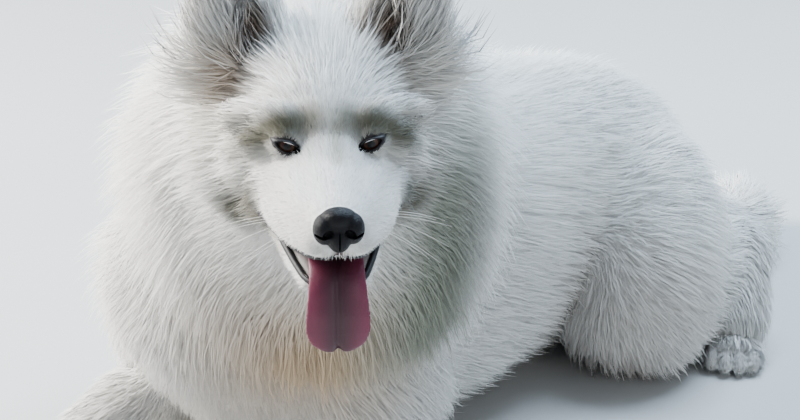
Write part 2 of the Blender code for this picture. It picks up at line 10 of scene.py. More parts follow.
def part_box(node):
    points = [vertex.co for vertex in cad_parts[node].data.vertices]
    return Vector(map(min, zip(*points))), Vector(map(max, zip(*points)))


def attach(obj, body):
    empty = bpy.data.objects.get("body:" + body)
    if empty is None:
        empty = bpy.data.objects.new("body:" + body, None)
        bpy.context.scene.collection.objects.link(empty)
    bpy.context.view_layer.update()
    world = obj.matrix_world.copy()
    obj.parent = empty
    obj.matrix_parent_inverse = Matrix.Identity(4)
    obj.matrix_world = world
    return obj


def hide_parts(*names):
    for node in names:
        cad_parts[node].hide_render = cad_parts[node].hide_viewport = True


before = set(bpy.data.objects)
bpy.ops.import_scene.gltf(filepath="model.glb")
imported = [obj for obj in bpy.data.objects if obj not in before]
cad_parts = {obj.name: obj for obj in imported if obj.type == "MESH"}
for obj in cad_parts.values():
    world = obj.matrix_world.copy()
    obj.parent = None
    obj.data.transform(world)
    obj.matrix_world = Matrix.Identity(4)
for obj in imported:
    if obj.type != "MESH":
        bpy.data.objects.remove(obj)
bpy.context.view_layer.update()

# A Samoyed, life-size, lying on its chest with its head turned to its left. Metres, +Z up, rump at +Y.


# Shader maths: a wire is a node's output, and sums on wires add Math nodes
class Wire:
    def __init__(self, paint, socket):
        self.paint = paint
        self.socket = socket

    def maths(self, operation, *others, clamp=False):
        settings = {"operation": operation, "use_clamp": clamp}
        return self.paint.node("ShaderNodeMath", settings, dict(enumerate([self, *others])))

    def __add__(self, other):
        return self.maths("ADD", other)

    def __sub__(self, other):
        return self.maths("SUBTRACT", other)

    def __rsub__(self, other):
        return self.maths("MULTIPLY_ADD", -1.0, other)

    def __mul__(self, other):
        return self.maths("MULTIPLY", other)

    def __truediv__(self, other):
        return self.maths("DIVIDE", other)

    def __pow__(self, other):
        return self.maths("POWER", other)

    __radd__ = __add__
    __rmul__ = __mul__

    def clamped(self):
        return self.maths("ADD", 0.0, clamp=True)


class Paint:
    def __init__(self, name):
        self.material = bpy.data.materials.new(name)
        self.material.use_nodes = True
        self.tree = self.material.node_tree
        self.shader = self.tree.nodes["Principled BSDF"]
        self.place = self.node("ShaderNodeTexCoord", output="Object")

    def node(self, kind, settings=None, inputs=None, output=0):
        made = self.tree.nodes.new(kind)
        for key, value in (settings or {}).items():
            if key == "stops":
                made.color_ramp.elements[0].position = value[0][0]
                made.color_ramp.elements[0].color = (*value[0][1], 1)
                made.color_ramp.elements[1].position = value[-1][0]
                made.color_ramp.elements[1].color = (*value[-1][1], 1)
                for at, colour in value[1:-1]:
                    made.color_ramp.elements.new(at).color = (*colour, 1)
            else:
                setattr(made, key, value)
        for key, value in (inputs or {}).items():
            self.plug(made.inputs[key], value)
        return Wire(self, made.outputs[output])

    def plug(self, socket, value):
        if isinstance(value, Wire):
            self.tree.links.new(value.socket, socket)
        elif socket.type == "RGBA" and len(value) == 3:
            socket.default_value = (*value, 1)
        else:
            socket.default_value = value

    def set(self, **values):
        for key, value in values.items():
            self.plug(self.shader.inputs[key.replace("_", " ")], value)
        return self.material

    def mix(self, share, first, second):  # colours
        return self.node("ShaderNodeMix", {"data_type": "RGBA"}, {0: share, 6: first, 7: second}, 2)

    def vectors(self, operation, *inputs, output=0):
        return self.node("ShaderNodeVectorMath", {"operation": operation}, dict(enumerate(inputs)), output)

    def scaled(self, vector, size):  # a colour made lighter or darker, or a way made longer or shorter
        return self.node("ShaderNodeVectorMath", {"operation": "SCALE"}, {0: vector, "Scale": size})

    def noise(self, scale, detail=3.0, roughness=0.5, stretch=None):
        place = self.place
        if stretch:
            place = self.node("ShaderNodeMapping", None, {"Vector": place, "Scale": stretch})
        inputs = {"Vector": place, "Scale": scale, "Detail": detail, "Roughness": roughness}
        return self.node("ShaderNodeTexNoise", None, inputs)

    def attribute(self, name):
        return self.node("ShaderNodeAttribute", {"attribute_name": name}, None, "Fac")

    def distance(self, at):
        return self.vectors("DISTANCE", self.place, tuple(at), output="Value")

    def fade(self, far, radius, soft):  # 1 close by, 0 past the radius
        return ((1.0 - far / radius) * (1.0 / soft)).clamped()

    def near(self, at, radius, soft=1.0):  # a round mark
        return self.fade(self.distance(at), radius, soft)

    def beside(self, start, end, radius, soft=1.0):  # a mark along a line
        run = Vector(end) - Vector(start)
        offset = self.vectors("SUBTRACT", self.place, tuple(start))
        dot = self.vectors("DOT_PRODUCT", offset, tuple(run), output="Value")
        nearest = self.scaled(tuple(run), (dot / run.length_squared).clamped())
        return self.fade(self.vectors("DISTANCE", offset, nearest, output="Value"), radius, soft)

    def bump(self, height, strength, depth):
        inputs = {"Height": height, "Strength": strength, "Distance": depth}
        return self.node("ShaderNodeBump", None, inputs, "Normal")


# Modelling by hand: primitives, edit-mode operators and applied modifiers
def deselect():
    bpy.ops.object.select_all(action="DESELECT")


def take(*objects):
    deselect()
    for obj in objects:
        obj.select_set(True)
    bpy.context.view_layer.objects.active = objects[0]
    return objects[0]


def settle(obj, name):
    take(obj)
    bpy.ops.object.transform_apply(location=True, rotation=True, scale=True)
    obj.name = obj.data.name = name
    return obj


def joinAll(objects, name):
    take(*objects)
    bpy.ops.object.join()
    return settle(bpy.context.object, name)


def modify(obj, kind, **settings):
    take(obj)
    modifier = obj.modifiers.new(kind.title(), kind)
    for key, value in settings.items():
        setattr(modifier, key, value)
    bpy.ops.object.modifier_apply(modifier=modifier.name)
    return obj


def addBall(at, radii, turn=None, segments=20):
    bpy.ops.mesh.primitive_uv_sphere_add(segments=segments, ring_count=segments // 2, radius=1)
    ball = bpy.context.object
    ball.matrix_world = Matrix.Translation(at) @ (turn or Matrix()) @ Matrix.Diagonal((*radii, 1))
    return ball


def melt(balls, name, voxel, rounds):  # one smooth skin round many balls
    form = joinAll(balls, name)
    modify(form, "REMESH", mode="VOXEL", voxel_size=voxel)
    return modify(form, "SMOOTH", factor=0.5, iterations=rounds)


def carve(obj, other, operation="DIFFERENCE"):
    modify(obj, "BOOLEAN", object=other, operation=operation, solver="MANIFOLD")
    bpy.data.objects.remove(other)
    return obj


def finishPiece(obj, material, slot, *replaced):  # its paint, a slot that is not used, and what it stands for; it hangs from the root body
    obj.data.materials.clear()
    obj.data.materials.append(material)
    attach(obj, "root")
    if replaced:
        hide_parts(*replaced)
    return obj


def points(obj):
    found = np.empty(len(obj.data.vertices) * 3, np.float32)
    obj.data.vertices.foreach_get("co", found)
    return found.reshape(-1, 3).astype(float)


def movePoints(obj, moved):
    obj.data.vertices.foreach_set("co", np.asarray(moved, np.float32).ravel())
    obj.data.update()


def keepAbove(obj, height):  # nothing reaches lower than this
    at = points(obj)
    at[:, 2] = np.maximum(at[:, 2], height)
    movePoints(obj, at)


def rise(value, low, high):  # smooth step, also for low above high
    share = np.clip((value - low) / (high - low), 0, 1)
    return share * share * (3 - 2 * share)


def unit(vectors):
    return vectors / np.maximum(np.linalg.norm(vectors, axis=-1, keepdims=True), 1e-9)


def refined(rows, steps):  # smooth rows through rows of numbers
    rows = np.array(rows, float)
    padded = np.vstack([rows[:1], rows, rows[-1:]])
    made = []
    for i in range(len(rows) - 1):
        before, start, end, after = padded[i:i + 4]
        for t in np.arange(steps) / steps:
            made.append(0.5 * (2 * start + (end - before) * t
                               + (2 * before - 5 * start + 4 * end - after) * t ** 2
                               + (3 * start - before - 3 * end + after) * t ** 3))
    return np.array(made + [rows[-1]])


def tangents(line):
    return unit(np.gradient(line, axis=0))


def ballsAlong(stations, steps, up=(0, 0, 1), capShare=0.6, segments=20):
    rows = refined([[*at, *sizes] for at, *sizes in stations], steps)
    runs = tangents(rows[:, :3])
    balls = []
    for row, run in zip(rows, runs):
        run = Vector(run)
        side = run.cross(Vector(up)).normalized()
        turn = Matrix((side, run, side.cross(run))).transposed().to_4x4()
        width, height = row[3], row[4]
        balls.append(addBall(row[:3], (width, capShare * min(width, height), height), turn, segments))
    return balls


# The head has a frame of its own: X to its right, Y forward, Z up, from midway between the eyes
eye = {
    "radius": 0.0120,
    "slant": math.radians(20),
    "opening": (0.0096, 0.0042),  # half width and half height of the slit
    "rim": (0.0145, 0.0064),  # the same of the bare skin round it
    "lid": 0.0016,  # thickness of the skin over the ball
    "gap": 0.0004,  # between the ball and its socket
    "cut": {"margin": 0.0012, "reach": 0.020, "forward": 0.010},  # the hole in the skin for the slit
}


def middleOf(node):
    low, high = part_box(node)
    return (low + high) / 2


def headPlace():
    left, right = middleOf("eye_left"), middleOf("eye_right")
    across = (right - left).normalized()
    forward = Vector((0, 0, 1)).cross(across)
    turn = Matrix((across, forward, (0, 0, 1))).transposed().to_4x4()
    return Matrix.Translation((left + right) / 2) @ turn, (right - left).length / 2


headTurn, eyeOut = headPlace()
headBack = headTurn.inverted()


def toHead(places):
    return places @ np.array(headBack.to_3x3()).T + np.array(headBack.translation)


def fromHead(vectors):
    return vectors @ np.array(headTurn.to_3x3()).T


def mirrored(stations, side):
    return [((side * at[0], at[1], at[2]), *sizes) for at, *sizes in stations]


# Stations of the skin: centre, half width, half height, and depth of the coat over it
body = {
    "torso": [
        ((0.000, -0.110, 0.178), 0.060, 0.072, 0.070),
        ((0.000, -0.060, 0.166), 0.088, 0.112, 0.070),
        ((0.000, 0.010, 0.154), 0.096, 0.142, 0.082),
        ((0.000, 0.080, 0.150), 0.096, 0.146, 0.084),
        ((0.000, 0.180, 0.150), 0.097, 0.142, 0.072),
        ((0.000, 0.280, 0.148), 0.091, 0.137, 0.060),
        ((0.000, 0.370, 0.142), 0.092, 0.132, 0.052),
        ((0.000, 0.440, 0.134), 0.096, 0.126, 0.048),
        ((0.000, 0.500, 0.126), 0.082, 0.108, 0.045),
    ],
    "neck": [
        ((0.014, 0.012, 0.208), 0.098, 0.112, 0.085),
        ((0.052, -0.024, 0.276), 0.094, 0.104, 0.092),
        ((0.104, -0.074, 0.336), 0.086, 0.096, 0.094),
        ((0.153, -0.124, 0.378), 0.077, 0.087, 0.090),
        ((0.195, -0.176, 0.402), 0.068, 0.074, 0.080),
    ],
    "tail": [
        ((0.000, 0.515, 0.165), 0.030, 0.030, 0.035),
        ((0.012, 0.575, 0.125), 0.024, 0.024, 0.060),
        ((0.035, 0.625, 0.074), 0.021, 0.021, 0.060),
        ((0.050, 0.680, 0.043), 0.019, 0.019, 0.060),
        ((0.040, 0.740, 0.038), 0.017, 0.017, 0.060),
        ((0.002, 0.790, 0.034), 0.012, 0.012, 0.060),
    ],
    "upperArmLeft": [
        ((0.075, -0.040, 0.165), 0.046, 0.055, 0.040),
        ((0.092, 0.000, 0.120), 0.046, 0.052, 0.035),
        ((0.092, 0.035, 0.072), 0.036, 0.040, 0.030),
    ],
    "forearmLeft": [
        ((0.090, 0.040, 0.060), 0.036, 0.038, 0.032),
        ((0.070, -0.020, 0.050), 0.036, 0.038, 0.034),
        ((0.042, -0.085, 0.042), 0.031, 0.034, 0.030),
        ((0.012, -0.148, 0.034), 0.026, 0.027, 0.018),
    ],
    "upperArmRight": [
        ((-0.075, -0.060, 0.160), 0.046, 0.055, 0.040),
        ((-0.094, -0.030, 0.115), 0.046, 0.052, 0.035),
        ((-0.098, 0.000, 0.072), 0.036, 0.040, 0.030),
    ],
    "forearmRight": [
        ((-0.086, 0.000, 0.064), 0.034, 0.038, 0.032),
        ((-0.080, -0.060, 0.060), 0.035, 0.042, 0.034),
        ((-0.079, -0.130, 0.052), 0.031, 0.040, 0.030),
        ((-0.088, -0.195, 0.035), 0.026, 0.028, 0.018),
    ],
    "thighLeft": [
        ((0.040, 0.455, 0.150), 0.070, 0.080, 0.045),
        ((0.085, 0.430, 0.125), 0.076, 0.088, 0.045),
        ((0.128, 0.385, 0.092), 0.062, 0.074, 0.045),
        ((0.155, 0.350, 0.064), 0.042, 0.050, 0.035),
    ],
    "shankLeft": [
        ((0.157, 0.365, 0.058), 0.038, 0.042, 0.030),
        ((0.158, 0.430, 0.062), 0.032, 0.038, 0.025),
        ((0.158, 0.490, 0.082), 0.027, 0.031, 0.028),
        ((0.158, 0.528, 0.099), 0.022, 0.024, 0.026),
    ],
    "footLeft": [
        ((0.160, 0.532, 0.096), 0.024, 0.026, 0.030),
        ((0.180, 0.503, 0.066), 0.024, 0.026, 0.030),
        ((0.200, 0.476, 0.038), 0.026, 0.024, 0.022),
    ],
    "thighRight": [
        ((-0.040, 0.455, 0.150), 0.070, 0.080, 0.045),
        ((-0.080, 0.425, 0.130), 0.076, 0.088, 0.045),
        ((-0.112, 0.370, 0.104), 0.060, 0.076, 0.045),
        ((-0.130, 0.325, 0.086), 0.042, 0.056, 0.035),
    ],
    "shankRight": [
        ((-0.132, 0.345, 0.070), 0.034, 0.044, 0.028),
        ((-0.138, 0.420, 0.066), 0.030, 0.036, 0.025),
        ((-0.142, 0.490, 0.060), 0.022, 0.028, 0.018),
    ],
    "footRight": [
        ((-0.143, 0.500, 0.040), 0.019, 0.021, 0.014),
        ((-0.147, 0.450, 0.024), 0.017, 0.018, 0.014),
        ((-0.150, 0.410, 0.022), 0.019, 0.018, 0.014),
    ],
}
bodyForm = {"steps": 6, "voxel": 0.0066, "rounds": 6, "floor": 0.0006}
# Share of the coat's depth that the skin with its undercoat fills, for each part or each station
bulk = {
    "torso": 0.52,
    "neck": (0.55, 0.55, 0.48, 0.36, 0.20),
    "tail": 0.22,
    "upperArm": 0.50,
    "forearm": 0.40,
    "thigh": 0.50,
    "shank": 0.40,
    "foot": 0.40,
}


def fullStations(name):  # the skin with its undercoat, and the depth of the coat over it
    shares = np.broadcast_to(bulk[name.replace("Left", "").replace("Right", "")], len(body[name]))
    rows = []
    for (at, width, height, depth), share in zip(body[name], shares):
        grow = depth * share
        up = grow / 2 if name == "torso" else 0   # the belly stays on the floor
        rows.append(((at[0], at[1], at[2] + up), width + grow, height + grow - up, depth - grow))
    return rows


def makeBodySkin():
    balls = []
    for name in body:
        balls += ballsAlong([row[:3] for row in fullStations(name)], bodyForm["steps"])
    skin = melt(balls, "bodySkin", bodyForm["voxel"], bodyForm["rounds"])
    keepAbove(skin, bodyForm["floor"])
    return skin


# Paws: where each stands, its heading, and its size
paws = {
    "forepawLeft": ((-0.006, -0.192, 0.0), math.radians(-22), 1.05),
    "forepawRight": ((-0.088, -0.238, 0.0), 0.0, 1.05),
    "hindPawLeft": ((0.214, 0.456, 0.0), math.radians(33), 0.98),
    "hindPawRight": ((-0.151, 0.378, 0.0), math.radians(-4), 0.98),
}
pawForm = {
    "pads": [((0, 0.012, 0.0175), (0.0265, 0.034, 0.0185)), ((0, 0.030, 0.021), (0.021, 0.028, 0.019))],
    "voxel": 0.0022,
    "rounds": 3,
}
toe = {
    "spacing": 0.0148,
    "front": -0.022,
    "setBack": 0.0065,  # of the outer toes
    "height": 0.0118,
    "radii": (0.0080, 0.0185, 0.0112),
    "tip": (0, -0.010, -0.0022),
    "tipRadii": (0.0078, 0.0098, 0.0088),
}


def pawPlace(name):
    at, heading, size = paws[name]
    return Matrix.Translation(at) @ Matrix.Rotation(heading, 4, "Z") @ Matrix.Scale(size, 4)


def toesOf():  # each toe's place in a paw, from one side to the other
    for across in (-1.5, -0.5, 0.5, 1.5):
        yield Vector((across * toe["spacing"], toe["front"] + toe["setBack"] * abs(across), toe["height"]))


def makePaw(name):
    balls = [addBall(at, radii) for at, radii in pawForm["pads"]]
    for at in toesOf():
        balls.append(addBall(at, toe["radii"]))
        balls.append(addBall(at + Vector(toe["tip"]), toe["tipRadii"]))
    paw = melt(balls, name, pawForm["voxel"], pawForm["rounds"])
    keepAbove(paw, bodyForm["floor"])
    paw.matrix_world = pawPlace(name)
    return settle(paw, name)


# Forms of the head's skin, in its own frame
head = {
    "skull": [
        ((0, -0.150, 0.000), 0.048, 0.042),
        ((0, -0.110, 0.002), 0.058, 0.048),
        ((0, -0.070, 0.000), 0.059, 0.049),
        ((0, -0.035, -0.003), 0.051, 0.042),
        ((0, -0.008, -0.010), 0.041, 0.031),
    ],
    "muzzle": [
        ((0, -0.020, -0.0160), 0.0400, 0.0330),
        ((0, 0.005, -0.0220), 0.0345, 0.0290),
        ((0, 0.030, -0.0275), 0.0300, 0.0225),
        ((0, 0.060, -0.0310), 0.0265, 0.0195),
        ((0, 0.090, -0.0345), 0.0230, 0.0175),
        ((0, 0.100, -0.0360), 0.0195, 0.0155),
    ],
    "upperLip": [
        ((0.0475, -0.010, -0.0400), 0.0095, 0.0150),
        ((0.0405, 0.025, -0.0450), 0.0095, 0.0150),
        ((0.0305, 0.062, -0.0475), 0.0098, 0.0145),
        ((0.0160, 0.094, -0.0480), 0.0102, 0.0115),
        ((0.0040, 0.100, -0.0480), 0.0090, 0.0105),
    ],
    "lowerJaw": [
        ((0, -0.070, -0.0720), 0.0440, 0.0300),
        ((0, -0.020, -0.0750), 0.0440, 0.0235),
        ((0, 0.010, -0.0785), 0.0400, 0.0175),
        ((0, 0.040, -0.0850), 0.0325, 0.0135),
        ((0, 0.066, -0.0925), 0.0235, 0.0105),
    ],
    "muzzleSide": [
        ((0.040, -0.060, -0.028), 0.0220, 0.0280),
        ((0.034, -0.026, -0.026), 0.0195, 0.0230),
        ((0.026, 0.010, -0.030), 0.0175, 0.0205),
        ((0.022, 0.040, -0.034), 0.0160, 0.0190),
        ((0.018, 0.070, -0.037), 0.0140, 0.0170),
        ((0.011, 0.092, -0.039), 0.0120, 0.0145),
    ],
    "brow": [
        ((0.013, -0.022, 0.0220), 0.0085, 0.0055),
        ((0.028, -0.022, 0.0200), 0.0100, 0.0055),
        ((0.043, -0.028, 0.0150), 0.0105, 0.0065),
        ((0.056, -0.042, 0.0070), 0.0110, 0.0090),
    ],
    # single balls and their radii: forehead, cheek with the corner of the mouth, and round the eye
    "forehead": [((0, -0.036, 0.010), (0.050, 0.033, 0.029)), ((0, -0.019, 0.016), (0.016, 0.014, 0.012))],
    "cheek": [
        ((0.043, -0.062, -0.028), (0.026, 0.048, 0.034)),
        ((0.042, -0.034, -0.055), (0.014, 0.034, 0.024)),
    ],
    "orbit": [
        ((0.031, -0.0075, 0.0125), (0.0190, 0.0125, 0.0110)),
        ((0.044, -0.0160, -0.004), (0.0150, 0.0120, 0.0150)),
    ],
    "voxel": 0.00175,
    "rounds": 20,
}
ear = {
    "at": (0.062, -0.105, 0.034),
    "outer": [
        ((-0.002, 0.000, -0.020), 0.030, 0.021),
        ((0.000, 0.000, 0.000), 0.0335, 0.0205),
        ((0.004, 0.001, 0.024), 0.0345, 0.0185),
        ((0.008, 0.001, 0.046), 0.0295, 0.0155),
        ((0.011, 0.000, 0.066), 0.0190, 0.0105),
        ((0.013, -0.002, 0.078), 0.0085, 0.0065),
    ],
    "wall": 0.0185,  # how much narrower the hollow is
    "back": 0.0015,  # and how much less deep
    "least": 0.004,  # depth of the hollow at the tip
    "hollow": (-0.011, 0.0085, 0.004),  # where it lies in the ear
    "voxel": 0.0018,
}


def earForm(stations, side, name, rounds):
    balls = ballsAlong(mirrored(stations, side), 8, up=(0, 1, 0), segments=24)
    return melt(balls, name, ear["voxel"], rounds)


def makeEar(side):
    foot = Vector(ear["at"])
    outer = [(foot + Vector(at), *sizes) for at, *sizes in ear["outer"]]
    inner = []
    for at, width, depth in outer[1:-1]:
        deep = max(ear["least"], depth - ear["back"])
        inner.append((at + Vector(ear["hollow"]), width - ear["wall"], deep))
    shell = earForm(outer, side, "ear", 3)
    return modify(carve(shell, earForm(inner, side, "hollow", 2)), "SMOOTH", factor=0.5, iterations=3)


def eyeAt(side):
    return Vector((side * eyeOut, 0, 0))


def slitTurn(side):  # the outer corner is the higher
    return Matrix.Rotation(-eye["slant"] * side, 4, "Y")


def makeHeadSkin():
    balls = []
    for name, steps in (("skull", 8), ("muzzle", 8), ("lowerJaw", 6)):
        balls += ballsAlong(head[name], steps, segments=28)
    balls += [addBall(at, radii, segments=28) for at, radii in head["forehead"]]
    for side in (-1, 1):
        for name, steps in (("upperLip", 8), ("brow", 6), ("muzzleSide", 8)):
            balls += ballsAlong(mirrored(head[name], side), steps)
        balls += [addBall(at, radii) for at, radii in mirrored(head["cheek"], side)]
        balls.append(addBall(eyeAt(side), [eye["radius"] + eye["lid"]] * 3))
        balls += [addBall(at, radii) for at, radii in mirrored(head["orbit"], side)]
    skin = melt(balls, "headSkin", head["voxel"], head["rounds"])
    hole = eye["cut"]
    opening = (eye["opening"][0] + hole["margin"], hole["reach"], eye["opening"][1] + hole["margin"])
    for side in (-1, 1):
        carve(skin, addBall(eyeAt(side), [eye["radius"] + eye["gap"]] * 3, segments=40))
        carve(skin, addBall(eyeAt(side) + Vector((0, hole["forward"], 0)), opening, slitTurn(side), 40))
    for side in (-1, 1):
        carve(skin, makeEar(side), "UNION")
    skin.matrix_world = headTurn
    return settle(skin, "headSkin")


def makeSkin():
    skin = makeBodySkin()
    print("body skin", len(skin.data.polygons))
    headSkin = makeHeadSkin()
    print("head skin", len(headSkin.data.polygons))
    carve(skin, headSkin, "UNION")
    for name in paws:
        carve(skin, makePaw(name), "UNION")
    skin.name = skin.data.name = "skin"
    take(skin)
    bpy.ops.object.shade_smooth()
    flesh = [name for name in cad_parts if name.split("_")[0] not in ("eye", "nose", "tongue")]
    finishPiece(skin, skinPaint(), "skin", *flesh)
    print("skin", len(skin.data.polygons), "faces")
    return skin


# Fields of the coat over the skin's points: how long, which way, how wide and how far apart
def normalsOf(obj):
    found = np.empty(len(obj.data.vertices) * 3, np.float32)
    obj.data.vertices.foreach_get("normal", found)
    return found.reshape(-1, 3).astype(float)


def chainsOf():
    chains = []
    for name in body:
        rows = refined([[*at, *sizes] for at, *sizes in fullStations(name)], bodyForm["steps"])
        chains.append((name, rows, tangents(rows[:, :3])))
    for name in paws:
        place = pawPlace(name)
        row = [*(place @ Vector((0, -0.005, 0.014))), 0.024, 0.014, 0.012]
        chains.append((name, np.array([row]), np.array([place.to_3x3() @ Vector((0, -1, -0.15))])))
    return chains


def nearestChain(places):
    best = np.full(len(places), 1e9)
    kind = np.zeros(len(places), int)
    depth = np.zeros(len(places))
    run = np.zeros_like(places)
    for number, (name, rows, runs) in enumerate(chainsOf()):
        for row, direction in zip(rows, runs):
            far = np.linalg.norm(places - row[:3], axis=1) - (row[3] + row[4]) / 2
            hit = far < best
            best[hit] = far[hit]
            kind[hit] = number
            depth[hit] = row[5]
            run[hit] = direction
    return kind, depth, run


# Of each region: distance between tufts, their width and length in metres, their lift off the skin in
# radians, and the way they lie, a fixed way and shares of the way along the part and away from the middle
coat = {
    "body": {"spacing": 0.0031, "width": 0.0012, "lift": 0.60, "way": (0, 1, -0.42), "aside": (0.20, 0, 0)},
    "chest": {"way": (0, 0.10, -1), "front": -0.10, "back": 0.06},
    "withers": {"length": 0.35, "lift": 0.22},
    "mane": {"spacing": 0.0033, "width": 0.0013, "lift": 0.04,
             "way": (0, 0.1, -0.55), "along": -0.7, "out": 0.1},
    "tail": {"spacing": 1.3, "length": 0.074, "lift": 0.33, "way": (0, 0, -0.25)},
    "thigh": {"way": (0, 0.60, -0.70), "aside": (0.08, 0, 0)},
    "leg": {"spacing": 0.0027, "width": 0.0012, "length": 0.028, "lift": 0.52, "way": (0, 0.15, -0.15)},
    "upperArm": {"length": 0.045},
    "paw": {"spacing": 0.0019, "width": 0.0010, "length": 0.014, "lift": 0.36},
    "lengthToDepth": 1.5,
    "patch": 0.003,  # size of a tuft's patch in the unwrap
    "floor": 0.0012,
}


def wayOf(region, key="way"):
    return np.array(coat[region][key])


def bodyFields(places, normals):
    kind, depth, run = nearestChain(places)
    names = [name for name, _, _ in chainsOf()]
    height = places[:, 2]
    side = np.sign(places[:, :1])
    body, mane, leg, paw = coat["body"], coat["mane"], coat["leg"], coat["paw"]
    chest = 1 - rise(places[:, 1:2], coat["chest"]["front"], coat["chest"]["back"])
    lie = wayOf("body") * (1 - chest) + wayOf("chest") * chest + side * wayOf("body", "aside")
    length = depth * coat["lengthToDepth"]
    spacing = np.full(len(places), body["spacing"])
    width = np.full(len(places), body["width"])
    lift = np.full(len(places), body["lift"])
    withers = rise(places[:, 1], 0.32, 0.14) * rise(normals[:, 2], 0.1, 0.7) * rise(height, 0.42, 0.35)
    length *= 1 + coat["withers"]["length"] * withers
    lift += coat["withers"]["lift"] * withers
    for number, name in enumerate(names):
        mine = kind == number
        if name == "neck":
            lie[mine] = run[mine] * mane["along"] + wayOf("mane") + normals[mine] * mane["out"]
            lift[mine] += mane["lift"]
            spacing[mine] = mane["spacing"]
            width[mine] = mane["width"]
        elif name == "tail":
            lie[mine] = run[mine] + wayOf("tail")
            length[mine] = coat["tail"]["length"]
            lift[mine] = coat["tail"]["lift"]
            spacing[mine] *= coat["tail"]["spacing"]
        elif name.startswith("thigh"):
            lie[mine] = wayOf("thigh") + side[mine] * wayOf("thigh", "aside")
        elif name in paws:
            lie[mine] = run[mine]
            length[mine] = paw["length"]
            spacing[mine] = paw["spacing"]
            width[mine] = paw["width"]
            lift[mine] = paw["lift"]
        elif name.startswith(("forearm", "shank", "foot", "upperArm")):
            small = rise(depth[mine], 0.030, 0.014)
            lie[mine] = run[mine] + wayOf("leg")
            length[mine] = np.maximum(depth[mine] * 1.4, leg["length"])
            spacing[mine] = body["spacing"] * (1 - small) + leg["spacing"] * small
            width[mine] = body["width"] * (1 - small) + leg["width"] * small
            lift[mine] = leg["lift"] - 0.15 * small
            if name.startswith("upperArm"):
                length[mine] = coat["upperArm"]["length"]
    # close to the floor the coat of the chest and belly is shorter, less so on the right side
    trunk = np.array([name in ("torso", "neck") for name in names])[kind]
    low = rise(height, 0.24, 0.12) * trunk
    low *= 1 - 0.8 * rise(-places[:, 0], 0.05, 0.12)
    length *= 1 - low * (0.70 - 0.40 * rise(places[:, 1], 0.0, 0.10))
    hidden = rise(-normals[:, 2], 0.35, 0.75) * rise(height, 0.09, 0.05)  # what the dog lies on
    spacing *= 1 + 0.9 * hidden
    return lie, length, spacing, width, lift


# The head's coat over the face, the muzzle, the jaw and the ears: a base, and what each region adds to it
headCoat = {
    "length": (
        {"base": 0.0130, "away": 0.033, "farBack": 0.010, "crown": 0.012},
        {"base": 0.0118, "front": -0.0044},
        {"base": 0.012, "farBack": 0.034},
        {"base": 0.032},
    ),
    "spacing": (
        {"base": 0.00165, "away": 0.0009, "farBack": 0.0005, "crown": 0.0003},
        {"base": 0.00155, "front": -0.0002},
        {"base": 0.0018, "farBack": 0.0010},
        {"base": 0.0021},
    ),
    "width": (
        {"base": 0.00105, "away": 0.00030},
        {"base": 0.00100, "front": -0.0002},
        {"base": 0.00100, "farBack": 0.0004},
        {"base": 0.00100},
    ),
    "lift": (
        {"base": 0.30, "away": 0.26, "crown": 0.22},
        {"base": 0.27, "front": -0.06},
        {"base": 0.36},
        {"base": 0.42},
    ),
}


def headFields(places, normals):
    at = toHead(places)
    u, v, w = at.T
    side = np.sign(u)
    out = np.abs(u)
    count = len(places)
    inHead = rise(v, -0.150, -0.115) * rise(np.linalg.norm(at - (0, -0.06, -0.02), axis=1), 0.20, 0.17)
    muzzle = rise(v, -0.004, 0.026)
    jaw = rise(w, -0.060, -0.070)
    earMask = rise(w + 0.15 * (out - 0.05), 0.040, 0.052) * rise(v, -0.060, -0.075)

    # the coat runs away from the stop over the face, and back along the muzzle and the jaw
    spread = np.hypot(u, w + 0.016)
    upward = (w + 0.016) / (spread + 0.012)
    upward *= 1 - 0.65 * rise(out, 0.012, 0.040)  # beside the middle the hair is swept outwards
    faceWay = np.stack([1.3 * u / (spread + 0.012), np.full(count, -0.55), upward], 1)
    faceWay[:, 2] -= 0.45 * rise(out, 0.030, 0.070) * rise(w, 0.03, -0.02)
    down = -0.10 - 12 * rise(w, -0.012, -0.045) * 0.045 + 4 * (w + 0.012).clip(0)
    muzzleWay = np.stack([side * (0.10 + 4 * (out - 0.012).clip(0, 0.05)), np.full(count, -1.0), down], 1)
    jawWay = np.stack([side * 0.30, np.full(count, -0.85), np.full(count, -0.40)], 1)
    earWay = np.stack([side * 0.40, np.full(count, 0.10), np.full(count, 0.90)], 1)
    lie = faceWay
    for mask, way in ((muzzle, muzzleWay), (jaw, jawWay), (earMask, earWay)):
        lie = lie * (1 - mask[:, None]) + way * mask[:, None]

    # round the eyes it runs outwards and is shorter
    short = np.ones(count)
    for eyeSide in (-1, 1):
        gap = at - np.array(eyeAt(eyeSide))
        far = np.linalg.norm(gap * (0.75, 1, 1), axis=1)
        lie += unit(gap * (1, 0, 1)) * (1 - rise(far, 0.010, 0.024))[:, None] * 1.6
        short = np.minimum(short, rise(far, 0.008, 0.026))
    masks = {
        "base": np.ones(count),
        "away": rise(np.hypot(u, (w + 0.020) * 0.85), 0.028, 0.084),  # from the short hair to the fringe
        "farBack": rise(-v, 0.030, 0.115),
        "front": rise(v, 0.050, 0.100),
        "crown": rise(w, 0.020, 0.044) * rise(-v, 0.010, 0.050),
    }

    def sized(name):
        made = 0
        for share, settings in zip((1, muzzle, jaw, earMask), headCoat[name]):
            value = sum(masks[mask] * size for mask, size in settings.items())
            made = made * (1 - share) + value * share
        return made

    length = sized("length") * (0.42 + 0.58 * short)
    return inHead, fromHead(lie), length, sized("spacing"), sized("width"), sized("lift")


def edgesOf(obj):
    found = np.empty(len(obj.data.edges) * 2, np.int32)
    obj.data.edges.foreach_get("vertices", found)
    return found.reshape(-1, 2)


